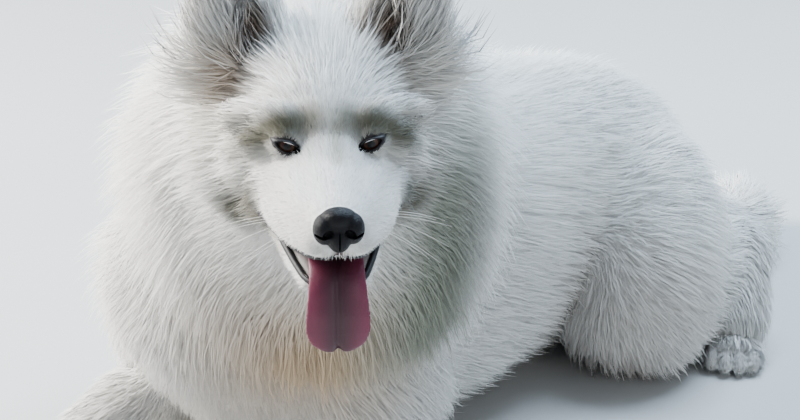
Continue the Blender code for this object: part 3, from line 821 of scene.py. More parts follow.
def softenField(values, edges, rounds):
    values = np.asarray(values, float)
    flat = values.reshape(len(values), -1)
    degree = np.bincount(edges.ravel(), minlength=len(values))[:, None] + 1.0
    for _ in range(rounds):
        total = flat.copy()
        for column in range(flat.shape[1]):
            total[:, column] += np.bincount(edges[:, 0], flat[edges[:, 1], column], len(values))
            total[:, column] += np.bincount(edges[:, 1], flat[edges[:, 0], column], len(values))
        flat = total / degree
    return flat.reshape(values.shape)


def coatFields(skin):
    places, normals, edges = points(skin), normalsOf(skin), edgesOf(skin)
    lie, length, spacing, width, lift = bodyFields(places, normals)
    inHead, headLie, *headSizes = headFields(places, normals)
    share = inHead[:, None]
    lie = unit(lie) * (1 - share) + unit(headLie) * share
    sizes = np.stack([length, spacing, width, lift], 1) * (1 - share) + np.stack(headSizes, 1) * share
    lie = softenField(lie, edges, 14)
    sizes = softenField(sizes, edges, 10)
    return {"places": places, "normals": softenField(normals, edges, 6), "lie": lie, "length": sizes[:, 0],
            "spacing": sizes[:, 1], "width": sizes[:, 2], "lift": sizes[:, 3], "inHead": inHead}


# Tufts: thin closed blades of three sides that taper to a point
def scatterRoots(skin, fields, rng, thin):
    mesh = skin.data
    mesh.calc_loop_triangles()
    corners = np.empty(len(mesh.loop_triangles) * 3, np.int32)
    mesh.loop_triangles.foreach_get("vertices", corners)
    corners = corners.reshape(-1, 3)
    places = fields["places"][corners]
    across = np.cross(places[:, 1] - places[:, 0], places[:, 2] - places[:, 0])
    area = np.linalg.norm(across, axis=1) / 2
    spacing = fields["spacing"][corners].mean(1)
    middles = places.mean(1)
    bare = bareSkin(middles, across / np.maximum(2 * area[:, None], 1e-12))
    wanted = area / spacing ** 2 * (1 - bare) / thin
    count = int(wanted.sum())
    chosen = np.sort(rng.choice(len(corners), count, p=wanted / wanted.sum()))
    a, b = rng.random((2, count))
    turned = a + b > 1
    a[turned], b[turned] = 1 - a[turned], 1 - b[turned]
    weights = np.stack([1 - a - b, a, b], 1)

    def at(name):
        values = fields[name][corners[chosen]]
        return np.einsum("nk,nk...->n...", weights, values)

    roots = {name: at(name) for name in ("places", "normals", "lie", "length", "width", "lift", "inHead")}
    roots["normals"] = unit(roots["normals"])
    return roots


# Where the skin stays bare, in the head's frame: within the mouth, and nearly so inside the ears
mouth = {"back": -0.035, "halfWidth": 0.048, "low": -0.100, "high": -0.046, "palate": -0.066, "bed": -0.060}
earInside = {"middle": 0.057, "halfWidth": 0.017, "v": (-0.114, -0.0925), "w": (0.036, 0.105), "bare": 0.80}


def bareSkin(places, normals):  # 1 where no coat grows
    at = toHead(places)
    facing = normals @ np.array(headTurn.to_3x3())
    u, v, w = at.T
    bare = np.zeros(len(places))
    wide, high = eye["rim"]
    for side in (-1, 1):
        gap = (at - np.array(eyeAt(side))) @ np.array(slitTurn(side).to_3x3())
        inRim = np.abs(gap[:, 0] / wide) ** 1.6 + np.abs(gap[:, 2] / high) ** 1.8 < 1
        bare[inRim & (gap[:, 1] > -0.004)] = 1
    gap = (at - np.array(nose["middle"])) / nose["bare"]
    bare[(gap ** 2).sum(1) < 1] = 1
    inMouth = (v > mouth["back"]) & (np.abs(u) < mouth["halfWidth"])
    inMouth &= (w < mouth["high"]) & (w > mouth["low"])
    palate = inMouth & (facing[:, 2] < -0.35) & (w > mouth["palate"])
    bed = inMouth & (facing[:, 2] > 0.30) & (w < mouth["bed"])
    bare[palate | bed] = 1
    inside = np.abs(np.abs(u) - earInside["middle"]) < earInside["halfWidth"]
    for value, (low, top) in ((v, earInside["v"]), (w, earInside["w"])):
        inside &= (value > low) & (value < top)
    bare[inside & (facing[:, 1] > 0.20)] = earInside["bare"]
    mirroredAt = np.stack([np.abs(u), v, w], 1)
    for place in refined(lips["upper"], 4):
        bare[np.linalg.norm(mirroredAt - place, axis=1) < lips["bare"]] = 0.9
    return bare


def treeOf(places):
    tree = KDTree(len(places))
    for i, place in enumerate(places):
        tree.insert(place, i)
    tree.balance()
    return tree


def nearestOf(tree, places):
    find = tree.find
    return np.fromiter((find(place)[1] for place in places), int, len(places))


growth = {
    "sink": (0.04, 0.003),  # how deep a root lies, as a share of the length and at most
    "curl": (1.55, 1.1),  # a tuft lifts by more at its root and by less at its tip
    "keepNormal": 0.35,  # share of its own direction that a tuft keeps at each step over the skin
    "keepLie": 0.45,
}


def growPaths(roots, fields, tree, steps, rng, layer):
    count = len(roots["places"])
    here = roots["places"]
    normal = roots["normals"]
    lie = roots["lie"] + rng.normal(0, layer["ragged"], (count, 3))
    length = roots["length"][:, None]
    depth, deepest = growth["sink"]
    line = [here - normal * np.minimum(length * depth, deepest)]
    overs = [normal]
    sway = rng.normal(0, layer["wave"], (count, 1))
    start, less = growth["curl"]
    keepNormal, keepLie = growth["keepNormal"], growth["keepLie"]
    for step in range(steps):
        share = (step + 0.5) / steps
        lift = (roots["lift"][:, None] + layer["lift"]) * (start - less * share)
        flat = unit(lie - normal * np.sum(lie * normal, 1, keepdims=True))
        side = np.cross(flat, normal)
        way = unit(flat * np.cos(lift) + normal * np.sin(lift) + side * sway * (1 if step % 2 else -1))
        here = here + way * length / steps
        line.append(here)
        overs.append(normal)
        if step < steps - 1:
            found = nearestOf(tree, here)
            normal = unit(normal * keepNormal + fields["normals"][found] * (1 - keepNormal))
            lie = lie * keepLie + fields["lie"][found] * (1 - keepLie)
    return np.stack(line, 1), np.stack(overs, 1)


def leadOf(line, steps, reach):  # the first part of each guard hair, in a layer's steps
    at = np.linspace(0, reach, steps + 1) * (line.shape[1] - 1)
    low = np.minimum(at.astype(int), line.shape[1] - 2)
    share = (at - low)[None, :, None]
    return line[:, low] * (1 - share) + line[:, low + 1] * share


def gather(line, places, locks, rng, layer):  # tufts drawn to the nearest guard hair, into locks
    lead = leadOf(locks["line"], line.shape[1] - 1, layer["reach"])[nearestOf(locks["tree"], places)]
    share = np.linspace(0, 1, line.shape[1])[None, :, None] ** 1.4
    strength = layer["pull"] * rng.uniform(0.4, 1.0, (len(line), 1, 1))
    return line + (lead - line) * share * strength


blade = {
    "profiles": {1: (1.0,), 2: (0.85, 0.75), 3: (0.7, 1.0, 0.62)},  # each ring's share of the width
    "thickness": 0.7,
    "skinward": 2.2,  # how strongly a blade is shaded like the skin below it
    "lean": (0.34, 0.20, 0.42),  # and its own faces: sideways, and upwards at the sides and the ridge
}


def bladeMesh(name, line, overs, width, uvRoots, tint):
    count, rings = line.shape[0], line.shape[1] - 1
    if rings > 1:
        run = unit(np.gradient(line, axis=1))
    else:
        run = unit(np.repeat(line[:, 1:] - line[:, :1], 2, axis=1))
    side = unit(np.cross(run, overs))
    up = np.cross(side, run)
    half = width[:, None, None] * np.array(blade["profiles"][rings])[None, :, None] / 2
    centre, sideways, over = line[:, :rings], side[:, :rings], up[:, :rings]
    ridge = centre + over * half * blade["thickness"]
    corners = np.stack([centre + sideways * half, ridge, centre - sideways * half], 2)
    vertices = np.concatenate([corners.reshape(count, rings * 3, 3), line[:, rings:]], 1)
    vertices[:, :, 2] = np.maximum(vertices[:, :, 2], coat["floor"])
    template = [(0, 1, 2)]
    for ring in range(rings):
        for k in range(3):
            a, b = 3 * ring + k, 3 * ring + (k + 1) % 3
            if ring < rings - 1:
                template += [(a, b + 3, b), (a, a + 3, b + 3)]
            else:
                template.append((a, 3 * rings, b))
    template = np.array(template)
    each = rings * 3 + 1
    faces = (template[None] + np.arange(count)[:, None, None] * each).reshape(-1, 3)

    mesh = bpy.data.meshes.new(name)
    mesh.vertices.add(count * each)
    mesh.vertices.foreach_set("co", vertices.astype(np.float32).ravel())
    mesh.loops.add(len(faces) * 3)
    mesh.loops.foreach_set("vertex_index", faces.astype(np.int32).ravel())
    mesh.polygons.add(len(faces))
    mesh.polygons.foreach_set("loop_start", np.arange(0, len(faces) * 3, 3, dtype=np.int32))
    mesh.update(calc_edges=True)
    mesh.polygons.foreach_set("use_smooth", np.ones(len(faces), bool))

    soft = overs[:, :rings, None, :] * blade["skinward"]
    aside, sideUp, ridgeUp = blade["lean"]
    lean = np.stack([sideways * aside + over * sideUp, over * ridgeUp, -sideways * aside + over * sideUp], 2)
    normals = unit((soft + lean).reshape(count, rings * 3, 3))
    normals = np.concatenate([normals, overs[:, rings:]], 1).reshape(-1, 3)
    mesh.normals_split_custom_set_from_vertices(normals.tolist())

    layer = mesh.uv_layers.new(name="OFBake")
    across = np.tile((0.5, 0.0, -0.5), rings)
    down = np.repeat(np.arange(rings) / rings, 3) - 0.5
    spots = np.stack([np.append(across, 0.0), np.append(down, 0.5)], 1) * coat["patch"]
    uvs = (uvRoots[:, None] + spots[None]).reshape(-1, 2)
    layer.data.foreach_set("uv", uvs[faces.ravel()].astype(np.float32).ravel())

    share = np.append(np.repeat(np.arange(rings) / rings, 3), 1.0)
    for label, values in (("along", np.tile(share, count)), ("tint", np.repeat(tint, each))):
        attribute = mesh.attributes.new(label, "FLOAT", "POINT")
        attribute.data.foreach_set("value", values.astype(np.float32))
    obj = bpy.data.objects.new(name, mesh)
    bpy.context.scene.collection.objects.link(obj)
    return obj


unwrap = {"share": 0.08, "angle": math.radians(66), "margin": 0.002}


def unwrapGuide(skin):  # a light copy of the skin with an unwrap, for the tufts' patches
    take(skin)
    bpy.ops.object.duplicate()
    guide = bpy.context.object
    modify(guide, "DECIMATE", ratio=unwrap["share"])
    take(guide)
    bpy.ops.object.mode_set(mode="EDIT")
    bpy.ops.mesh.select_all(action="SELECT")
    bpy.ops.uv.smart_project(angle_limit=unwrap["angle"], island_margin=unwrap["margin"])
    bpy.ops.object.mode_set(mode="OBJECT")
    mesh = guide.data
    mesh.calc_loop_triangles()
    triangles = np.empty(len(mesh.loop_triangles) * 3, np.int32)
    loops = np.empty(len(mesh.loop_triangles) * 3, np.int32)
    mesh.loop_triangles.foreach_get("vertices", triangles)
    mesh.loop_triangles.foreach_get("loops", loops)
    uv = np.empty(len(mesh.loops) * 2, np.float32)
    mesh.uv_layers.active.data.foreach_get("uv", uv)
    places = points(guide)
    triangles = triangles.reshape(-1, 3)
    corners = uv.reshape(-1, 2)[loops.reshape(-1, 3)]
    search = BVHTree.FromPolygons(places.tolist(), triangles.tolist())
    bpy.data.objects.remove(guide)
    return search, places[triangles], corners


def uvOf(guide, places):
    search, triangles, corners = guide
    found = [search.find_nearest(place) for place in places]
    index = np.array([hit[2] for hit in found])
    spot = np.array([tuple(hit[0]) for hit in found])
    a, b, c = triangles[index].transpose(1, 0, 2)
    ab, ac, ap = b - a, c - a, spot - a
    d00, d01, d11 = (ab * ab).sum(1), (ab * ac).sum(1), (ac * ac).sum(1)
    d20, d21 = (ap * ab).sum(1), (ap * ac).sum(1)
    scale = np.maximum(d00 * d11 - d01 * d01, 1e-18)
    second = np.clip((d11 * d20 - d01 * d21) / scale, 0, 1)
    third = np.clip((d00 * d21 - d01 * d20) / scale, 0, 1)
    first = np.clip(1 - second - third, 0, 1)
    weights = np.stack([first, second, third], 1)
    return np.einsum("nk,nkj->nj", weights / weights.sum(1, keepdims=True), corners[index])


# Layers of the coat: how thinly they grow, shares of the fields' length and width, how they lie and wave,
# rings of a blade, and how far along and how strongly they are drawn to the guard hairs
layers = {
    "guard": {"thin": 7.0, "length": 1.26, "width": 1.15, "lift": -0.02, "ragged": 0.12, "wave": 0.12,
              "rings": 3, "reach": 1.0, "pull": 0.0},
    "fine": {"thin": 2.8, "length": 0.98, "width": 1.0, "lift": 0.02, "ragged": 0.17, "wave": 0.08,
             "rings": 2, "reach": 0.85, "pull": 0.50},
    "fluff": {"thin": 0.55, "length": 0.74, "width": 0.82, "lift": 0.06, "ragged": 0.24, "wave": 0.0,
              "rings": 1, "reach": 0.62, "pull": 0.42},
}
longCoat = (0.013, 0.030)  # lengths between which the longer layers set in
mostTriangles = 185000  # in one piece of the coat


# Where one piece of the coat ends and the next begins: along the dog, and in the head's frame
cuts = {"chest": -0.05, "flank": 0.10, "rump": 0.34, "tail": 0.54, "long": 0.060,
        "face": -0.045, "muzzle": 0.012, "ears": 0.045}


def pieceOf(roots):  # which piece of the coat a tuft belongs to
    at = toHead(roots["places"])
    x, y = roots["places"][:, 0], roots["places"][:, 1]
    names = np.where(x > 0, "coatLegsLeft", "coatLegsRight").astype(object)
    for start, name in (("flank", "coatFlank"), ("rump", "coatRump")):
        names[(y >= cuts[start]) & (x > 0)] = name + "Left"
        names[(y >= cuts[start]) & (x <= 0)] = name + "Right"
    names[y >= cuts["tail"]] = "coatTail"
    longHair = (y < cuts["flank"]) & (roots["length"] > cuts["long"])
    names[longHair] = "coatMane"
    names[longHair & (y < cuts["chest"])] = "coatChest"
    inHead = roots["inHead"] > 0.5
    names[inHead] = "coatCheeks"
    names[inHead & (at[:, 1] > cuts["face"])] = "coatFace"
    names[inHead & (at[:, 1] > cuts["muzzle"])] = "coatMuzzle"
    names[inHead & (at[:, 2] > cuts["ears"])] = "coatEars"
    return names


def growCoat(skin, material):
    rng = np.random.default_rng(11)
    fields = coatFields(skin)
    tree = treeOf(fields["places"])
    guide = unwrapGuide(skin)
    locks = None
    batches = {}
    for kind, layer in layers.items():
        roots = scatterRoots(skin, fields, rng, layer["thin"])
        share = rise(roots["length"], *longCoat)
        roots["length"] *= 1 + (layer["length"] - 1) * share
        roots["length"] *= rng.uniform(0.70, 1.12, len(share))
        line, overs = growPaths(roots, fields, tree, layer["rings"], rng, layer)
        locks = locks or {"line": line, "tree": treeOf(roots["places"])}
        line = gather(line, roots["places"], locks, rng, layer)
        names = pieceOf(roots)
        kept = np.ones(len(share), bool) if kind == "fluff" else rng.random(len(share)) < share
        print(kind, int(kept.sum()), "tufts")
        for name in sorted(set(names[kept])):
            own = kept & (names == name)
            count = int(own.sum())
            width = roots["width"][own] * layer["width"] * rng.uniform(0.7, 1.3, count)
            batch = (line[own], overs[own], width, uvOf(guide, roots["places"][own]), rng.random(count))
            batches.setdefault(name, []).append(batch)
    total = 0
    for name in sorted(batches):
        total += makeCoatPieces(name, batches[name], material)
    print("coat", total, "triangles")


def makeCoatPieces(name, batches, material):  # as many pieces as their triangles need, cut across the dog
    triangles = sum(len(batch[0]) * (6 * batch[0].shape[1] - 8) for batch in batches)
    parts = math.ceil(triangles / mostTriangles)
    places = np.concatenate([batch[0][:, 0, 1] for batch in batches])
    edges = np.quantile(places, np.linspace(0, 1, parts + 1))
    edges[-1] += 1
    for part in range(parts):
        label = name + str(part + 1) if parts > 1 else name
        pieces = []
        for batch in batches:
            place = batch[0][:, 0, 1]
            mine = (place >= edges[part]) & (place < edges[part + 1])
            pieces.append(bladeMesh(label, *(values[mine] for values in batch)))
        piece = joinAll(pieces, label) if len(pieces) > 1 else pieces[0]
        finishPiece(piece, material, "coat")
        print(label, len(piece.data.polygons), "triangles")
    return triangles


nose = {
    "middle": (0, 0.1065, -0.0330),
    "forms": [  # offset from the middle, and radii
        ((0, -0.0020, 0.0005), (0.0168, 0.0120, 0.0150)),
        ((0, 0.0000, 0.0080), (0.0140, 0.0105, 0.0085)),
        ((0, 0.0035, -0.0070), (0.0090, 0.0092, 0.0105)),
        ((-0.0105, 0.0005, 0.0000), (0.0090, 0.0108, 0.0120)),
        ((0.0105, 0.0005, 0.0000), (0.0090, 0.0108, 0.0120)),
    ],
    "hollows": [  # the same for the nostril and the slit beside it, with their tilt
        ((0.0082, 0.0108, -0.0012), (0.0046, 0.0062, 0.0034), math.radians(28)),
        ((0.0138, 0.0068, -0.0036), (0.0052, 0.0062, 0.0014), math.radians(-18)),
    ],
    "groove": ((0, 0.0135, -0.0080), (0.0007, 0.0050, 0.0115)),
    "bare": (0.0205, 0.0150, 0.0175),  # radii of the skin without coat round it
    "voxel": 0.0008,
}


def noseBall(offset, radii, turn=None, segments=24):
    return addBall(tuple(np.add(nose["middle"], offset)), radii, turn, segments)


def makeNose():
    pad = melt([noseBall(at, radii, None, 32) for at, radii in nose["forms"]], "noseBall", nose["voxel"], 4)
    for side in (-1, 1):
        for at, radii, tilt in mirrored(nose["hollows"], side):
            carve(pad, noseBall(at, radii, Matrix.Rotation(side * tilt, 4, "Y")))
    carve(pad, noseBall(*nose["groove"]))
    modify(pad, "SMOOTH", factor=0.5, iterations=3)
    pad.matrix_world = headTurn
    settle(pad, "noseBall")
    bpy.ops.object.shade_smooth()
    finishPiece(pad, nosePaint(), "nose", "nose")


tongue = {
    "stations": [  # centre, half width and half thickness, from the root to the tip
        ((0, -0.010, -0.0590), 0.0170, 0.0050),
        ((0, 0.020, -0.0625), 0.0205, 0.0048),
        ((0, 0.050, -0.0670), 0.0215, 0.0046),
        ((0, 0.075, -0.0720), 0.0218, 0.0044),
        ((0, 0.0895, -0.0840), 0.0224, 0.0042),
        ((0, 0.0940, -0.1030), 0.0245, 0.0039),
        ((0, 0.0935, -0.1190), 0.0252, 0.0036),
        ((0, 0.0920, -0.1310), 0.0215, 0.0031),
        ((0, 0.0905, -0.1375), 0.0125, 0.0026),
    ],
    "groove": {"depth": 0.0022, "width": 0.0026, "slope": 0.009, "slopeShare": 0.25},
    "edge": {"from": 0.012, "to": 0.023, "back": 0.00132},  # how far its edges bend back where it hangs
    "notch": {"width": 0.003, "depth": 0.003},  # in the middle of its tip
    "voxel": 0.0011,
}


def bell(distance, width):
    return np.exp(-(distance / width) ** 2)


def makeTongue():
    balls = ballsAlong(tongue["stations"], 10, up=(0, 0.6, 0.8), segments=28)
    blade = melt(balls, "tongueBlade", tongue["voxel"], 4)
    at = points(blade)
    normals = normalsOf(blade)
    hanging = rise(at[:, 2], -0.070, -0.086)
    outside = np.clip(normals[:, 1] * hanging + normals[:, 2] * (1 - hanging), 0, 1)
    groove, edge, notch = tongue["groove"], tongue["edge"], tongue["notch"]
    middle = bell(at[:, 0], groove["width"]) + groove["slopeShare"] * bell(at[:, 0], groove["slope"])
    back = rise(np.abs(at[:, 0]), edge["from"], edge["to"]) * hanging * edge["back"]
    at = at - normals * (groove["depth"] * middle * outside)[:, None]
    at[:, 1] -= back * hanging
    at[:, 2] -= back * (1 - hanging)
    at[:, 2] += rise(at[:, 2], -0.130, -0.139) * bell(at[:, 0], notch["width"]) * notch["depth"]
    movePoints(blade, at)
    shade = blade.data.attributes.new("edge", "FLOAT", "POINT")
    shade.data.foreach_set("value", rise(np.abs(at[:, 0]), 0.002, edge["to"]).astype(np.float32))
    blade.matrix_world = headTurn
    settle(blade, "tongueBlade")
    bpy.ops.object.shade_smooth()
    finishPiece(blade, tonguePaint(), "tongue", "tongue")


def makeEyes():
    for side, name in ((-1, "Left"), (1, "Right")):
        ball = addBall(eyeAt(side), [eye["radius"]] * 3, segments=64)
        ball.matrix_world = headTurn @ ball.matrix_world
        settle(ball, "eyeball" + name)
        bpy.ops.object.shade_smooth()
        front = headTurn @ (eyeAt(side) + Vector((0, eye["radius"], 0)))
        finishPiece(ball, eyePaint("eyePaint" + name, front), "eye", "eye_" + name.lower())


lid = {
    "breadth": (0.0050, 0.0025),  # at the corners, and how much less it is in the middle
    "inwards": 0.18,  # share of the breadth that covers the ball
    "corners": (0.7, 0.35),  # the corners run out longer and flatter
    "roll": 0.0042,
    "slope": 0.004,
    "over": 0.0011,  # how far it stands off the ball
}
# a pale tube along each upper lid's edge, a painted highlight for the eye's reflection
lidGlint = {"from": 28, "to": 152, "points": 13, "share": (0.98, 0.92), "over": 0.0010, "radius": 0.00085}


def overBall(across, tall):  # how far forward the eyeball reaches, with a slightly flatter front
    return eye["radius"] ** 2 - across ** 2 * 0.8 - tall ** 2 * 0.9


def lidEdge(side, name, material):  # a painted highlight: a pale tube for the reflection along the upper lid's edge
    path = []
    for angle in np.radians(np.linspace(lidGlint["from"], lidGlint["to"], lidGlint["points"])):
        across = math.cos(angle) * eye["opening"][0] * lidGlint["share"][0]
        tall = math.sin(angle) * eye["opening"][1] * lidGlint["share"][1]
        forward = math.sqrt(overBall(across, tall)) + lidGlint["over"]
        path.append(slitTurn(side) @ Vector((across, forward, tall)) + eyeAt(side))
    makeTube("lidEdge" + name, path, lidGlint["radius"], 0.2, material, "skin")


def makeLid(side, name, material):  # a ring pulled over the eyeball
    bpy.ops.mesh.primitive_torus_add(major_segments=72, minor_segments=16, major_radius=1, minor_radius=0.3)
    ring = bpy.context.object
    at = points(ring)
    angle = np.arctan2(at[:, 1], at[:, 0])
    reach = np.linalg.norm(at[:, :2], axis=1) - 1
    wide, high = eye["opening"]
    atCorners, less = lid["breadth"]
    longer, flatter = lid["corners"]
    breadth = (reach + lid["inwards"]) * (atCorners - less * np.abs(np.sin(angle)))
    taper = np.abs(np.cos(angle)) ** 1.5
    across = np.cos(angle) * (wide + breadth * (1 + longer * taper))
    tall = np.sin(angle) * (high * (1 - flatter * taper) + breadth)
    lying = np.sqrt(np.maximum(overBall(across, tall), 1e-6))
    forward = lying + lid["over"] + at[:, 2] * lid["roll"] - np.maximum(reach, 0) * lid["slope"]
    shaped = np.stack([across, forward, tall], 1)
    movePoints(ring, shaped @ np.array(slitTurn(side).to_3x3()).T + np.array(eyeAt(side)))
    ring.matrix_world = headTurn
    settle(ring, "lids" + name)
    bpy.ops.object.mode_set(mode="EDIT")
    bpy.ops.mesh.select_all(action="SELECT")
    bpy.ops.mesh.normals_make_consistent(inside=False)
    bpy.ops.object.mode_set(mode="OBJECT")
    bpy.ops.object.shade_smooth()
    finishPiece(ring, material, "skin")


# Lips: dark rolled edges of the mouth
lips = {
    "upper": [
        (0.0650, -0.034, -0.0450), (0.0600, -0.018, -0.0500), (0.0540, 0.002, -0.0560),
        (0.0470, 0.022, -0.0590), (0.0385, 0.045, -0.0615), (0.0305, 0.065, -0.0620),
        (0.0235, 0.083, -0.0605), (0.0150, 0.098, -0.0582), (0.0040, 0.1045, -0.0550),
    ],
    "lower": [
        (0.0550, -0.008, -0.0560), (0.0480, 0.000, -0.0640), (0.0400, 0.012, -0.0710),
        (0.0345, 0.030, -0.0770), (0.0285, 0.050, -0.0830), (0.0215, 0.068, -0.0880),
        (0.0100, 0.0785, -0.0900), (0.0010, 0.0805, -0.0905),
    ],
    "radius": 0.0028,
    "bare": 0.0050,  # radius of the skin with hardly any coat along the upper lip
}


def makeTube(name, path, radius, least, material, slot):  # thinner at its ends
    curve = bpy.data.curves.new(name, "CURVE")
    curve.dimensions = "3D"
    curve.bevel_depth = radius
    curve.bevel_resolution = 3
    curve.use_fill_caps = True
    spline = curve.splines.new("POLY")
    spline.points.add(len(path) - 1)
    for i, (point, place) in enumerate(zip(spline.points, path)):
        point.co = (*place, 1)
        point.radius = least + (1 - least) * math.sin(math.pi * i / (len(path) - 1))
    tube = bpy.data.objects.new(name, curve)
    bpy.context.scene.collection.objects.link(tube)
    take(tube)
    bpy.ops.object.convert(target="MESH")
    tube = bpy.context.object
    tube.matrix_world = headTurn
    settle(tube, name)
    bpy.ops.object.shade_smooth()
    return finishPiece(tube, material, slot)


def makeLip(side, kind, name, material):
    path = refined([(side * u, v, w) for u, v, w in lips[kind]], 6)
    makeTube(name, path, lips["radius"], 0.7, material, "skin")


whiskers = {
    "roots": [  # where each starts, which way it goes, and its length
        ((0.0250, 0.082, -0.0400), (0.75, 0.25, -0.25), 0.050),
        ((0.0290, 0.074, -0.0430), (0.85, 0.10, -0.35), 0.056),
        ((0.0330, 0.064, -0.0400), (0.95, -0.10, -0.05), 0.060),
        ((0.0350, 0.056, -0.0450), (0.90, -0.15, -0.30), 0.060),
        ((0.0375, 0.048, -0.0420), (0.95, -0.25, -0.10), 0.054),
        ((0.0300, 0.070, -0.0360), (0.92, 0.05, 0.05), 0.048),
    ],
    "droop": (0, -0.30, -0.28),
    "radius": 0.00016,
    "points": 12,
}


def makeWhiskers(material):
    hairs = []
    for side in (-1, 1):
        for at, way, length in whiskers["roots"]:
            start, way = Vector(at), Vector(way).normalized()
            path = []
            for t in np.linspace(0, 1, whiskers["points"]):
                place = start + way * length * t + Vector(whiskers["droop"]) * length * t * t
                path.append((side * place.x, place.y, place.z))
            hairs.append(makeTube("whisker", path, whiskers["radius"], 0.35, material, "coat"))
    finishPiece(joinAll(hairs, "whiskers"), material, "coat")


clawForm = {
    "radii": (0.0026, 0.0007),  # at the root and at the tip
    "length": 0.011,
    "bend": 0.0026,
    "flat": 0.72,
    "tilt": math.radians(112),
    "at": (0, -0.0215, -0.0035),  # from the middle of the toe
}


def makeClaws(material):
    claws = []
    length = clawForm["length"]
    root, tip = clawForm["radii"]
    turn = Matrix.Rotation(clawForm["tilt"], 4, "X")
    for name in paws:
        for at in toesOf():
            bpy.ops.mesh.primitive_cone_add(vertices=14, radius1=root, radius2=tip, depth=length)
            claw = bpy.context.object
            modify(claw, "SUBSURF", levels=2, render_levels=2)
            bent = points(claw)
            share = (bent[:, 2] + length / 2) / length
            bent[:, 1] += clawForm["bend"] * share ** 2
            bent[:, 0] *= clawForm["flat"]
            movePoints(claw, bent)
            claw.matrix_world = pawPlace(name) @ Matrix.Translation(at + Vector(clawForm["at"])) @ turn
            claws.append(claw)
    claw = joinAll(claws, "claws")
    keepAbove(claw, coat["floor"])
    bpy.ops.object.shade_smooth()
    finishPiece(claw, material, "claw")


# Markings and painted shade, the same on the skin and on the coat: place or both ends, radius, strength and
# colour
marksAndShade = {
    "spots": [
        ((0.145, -0.125, 0.175), 0.150, 0.95, (0.50, 0.345, 0.20)),  # chest: partly tan coat, partly painted shade under the head
        ((0.150, 0.350, 0.060), 0.120, 0.6, (0.80, 0.64, 0.52)),  # lower thigh
    ],
    "lines": [
        ((0.262, -0.080, 0.345), (0.215, -0.045, 0.190), 0.100, 0.97, (0.21, 0.22, 0.165)),  # painted shade over the left of the ruff, beneath the turned head
    ],
    "headSpots": [  # in the head's frame
        ((0.080, -0.086, 0.032), 0.036, 0.70, (0.66, 0.43, 0.26)),  # beside the right ear
        ((0.098, -0.076, 0.008), 0.072, 0.30, (0.74, 0.62, 0.46)),  # right cheek
        ((-0.088, -0.070, 0.030), 0.050, 0.40, (0.62, 0.56, 0.46)),  # beside the left ear
    ],
    "headLines": [
        ((-0.0065, 0.006, 0.013), (-0.005, 0.036, -0.004), 0.009, 0.60, (0.46, 0.42, 0.31)),  # stop: painted shade along its crease, partly tan
    ],
    "pairedSpots": [  # on both sides of the head, given for its right one
        ((0.0560, -0.094, 0.066), 0.028, 0.92, (0.21, 0.118, 0.064)),  # ear
        ((0.0130, 0.002, 0.0205), 0.020, 0.50, (0.42, 0.37, 0.25)),  # inner end of the brow: partly tan, partly painted shade
        ((0.0690, -0.004, -0.056), 0.029, 0.95, (0.085, 0.078, 0.050)),  # corner of the mouth: painted shade where the cheek meets the ruff
    ],
    "pairedLines": [
        ((0.068, -0.012, -0.052), (0.074, -0.052, -0.074), 0.032, 0.95, (0.085, 0.078, 0.050)),  # painted shade behind it
        ((0.060, -0.014, -0.072), (0.047, 0.012, -0.088), 0.021, 0.70, (0.20, 0.170, 0.115)),  # below the lip: painted shade on the jaw's fur
        ((0.014, 0.002, 0.0200), (0.036, 0.004, 0.0145), 0.0165, 0.72, (0.16, 0.145, 0.090)),  # brow: painted shade under the brow's fur, partly tan
        ((0.036, 0.004, 0.0145), (0.082, -0.026, -0.009), 0.0280, 0.97, (0.100, 0.092, 0.056)),  # its end: painted shade in the furrow running out to the side, partly tan
        ((0.0215, 0.010, -0.006), (0.0180, 0.016, -0.012), 0.0060, 0.75, (0.14, 0.125, 0.11)),  # by the eye
    ],
}
fade = 0.8  # share of a marking's radius over which it fades


def placed(marks, ends, side=1):  # from the head's frame, with its right side turned to the given one
    for mark in marks:
        places = [headTurn @ Vector((side * at[0], at[1], at[2])) for at in mark[:ends]]
        yield (*places, *mark[ends:])


def coatColour(paint):
    broad = paint.noise(9.0, 3.0)
    fine = paint.noise(60.0, 3.0)
    colour = paint.mix(broad, (0.91, 0.89, 0.85), (0.87, 0.83, 0.77))
    colour = paint.mix(fine * 0.30, colour, (0.74, 0.70, 0.62))
    spots = [*marksAndShade["spots"], *placed(marksAndShade["headSpots"], 1)]
    lines = [*marksAndShade["lines"], *placed(marksAndShade["headLines"], 2)]
    for side in (-1, 1):
        spots += placed(marksAndShade["pairedSpots"], 1, side)
        lines += placed(marksAndShade["pairedLines"], 2, side)
    # these spots and lines hold tan markings and painted shade alike
    for at, radius, strength, shade in spots:
        colour = paint.mix(paint.near(at, radius, fade) * strength, colour, shade)
    for start, end, radius, strength, shade in lines:
        colour = paint.mix(paint.beside(start, end, radius, fade) * strength, colour, shade)
    return colour


def coatPaint():
    paint = Paint("coatPaint")
    tint = paint.attribute("tint")
    along = paint.attribute("along")
    colour = coatColour(paint)
    # tufts are darker towards their roots, painted shade deep in the coat; the tint varies each tuft's tone
    # at random
    light = 0.80 + along ** 0.6 * 0.12 + tint * 0.22
    return paint.set(Base_Color=paint.scaled(colour, light), Roughness=0.72, Specular_IOR_Level=0.25,
                     Sheen_Weight=0.12, Sheen_Roughness=0.45, Subsurface_Weight=0.14,
                     Subsurface_Radius=(1.0, 0.9, 0.8), Subsurface_Scale=0.004)


# Dark and bare places of the skin, in the head's frame
skinMarks = {
    "eye": [((0, 0), 0.0103), ((0.0085, 0), 0.0056), ((-0.0085, -0.001), 0.0066)],  # from its middle
    "eyeForward": 0.008,
    "ear": ((0.058, -0.094, 0.062), 0.030),
    "mouth": [((0, 0.065, -0.066), 0.036), ((0, 0.025, -0.064), 0.044), ((0, 0.092, -0.060), 0.020)],
}


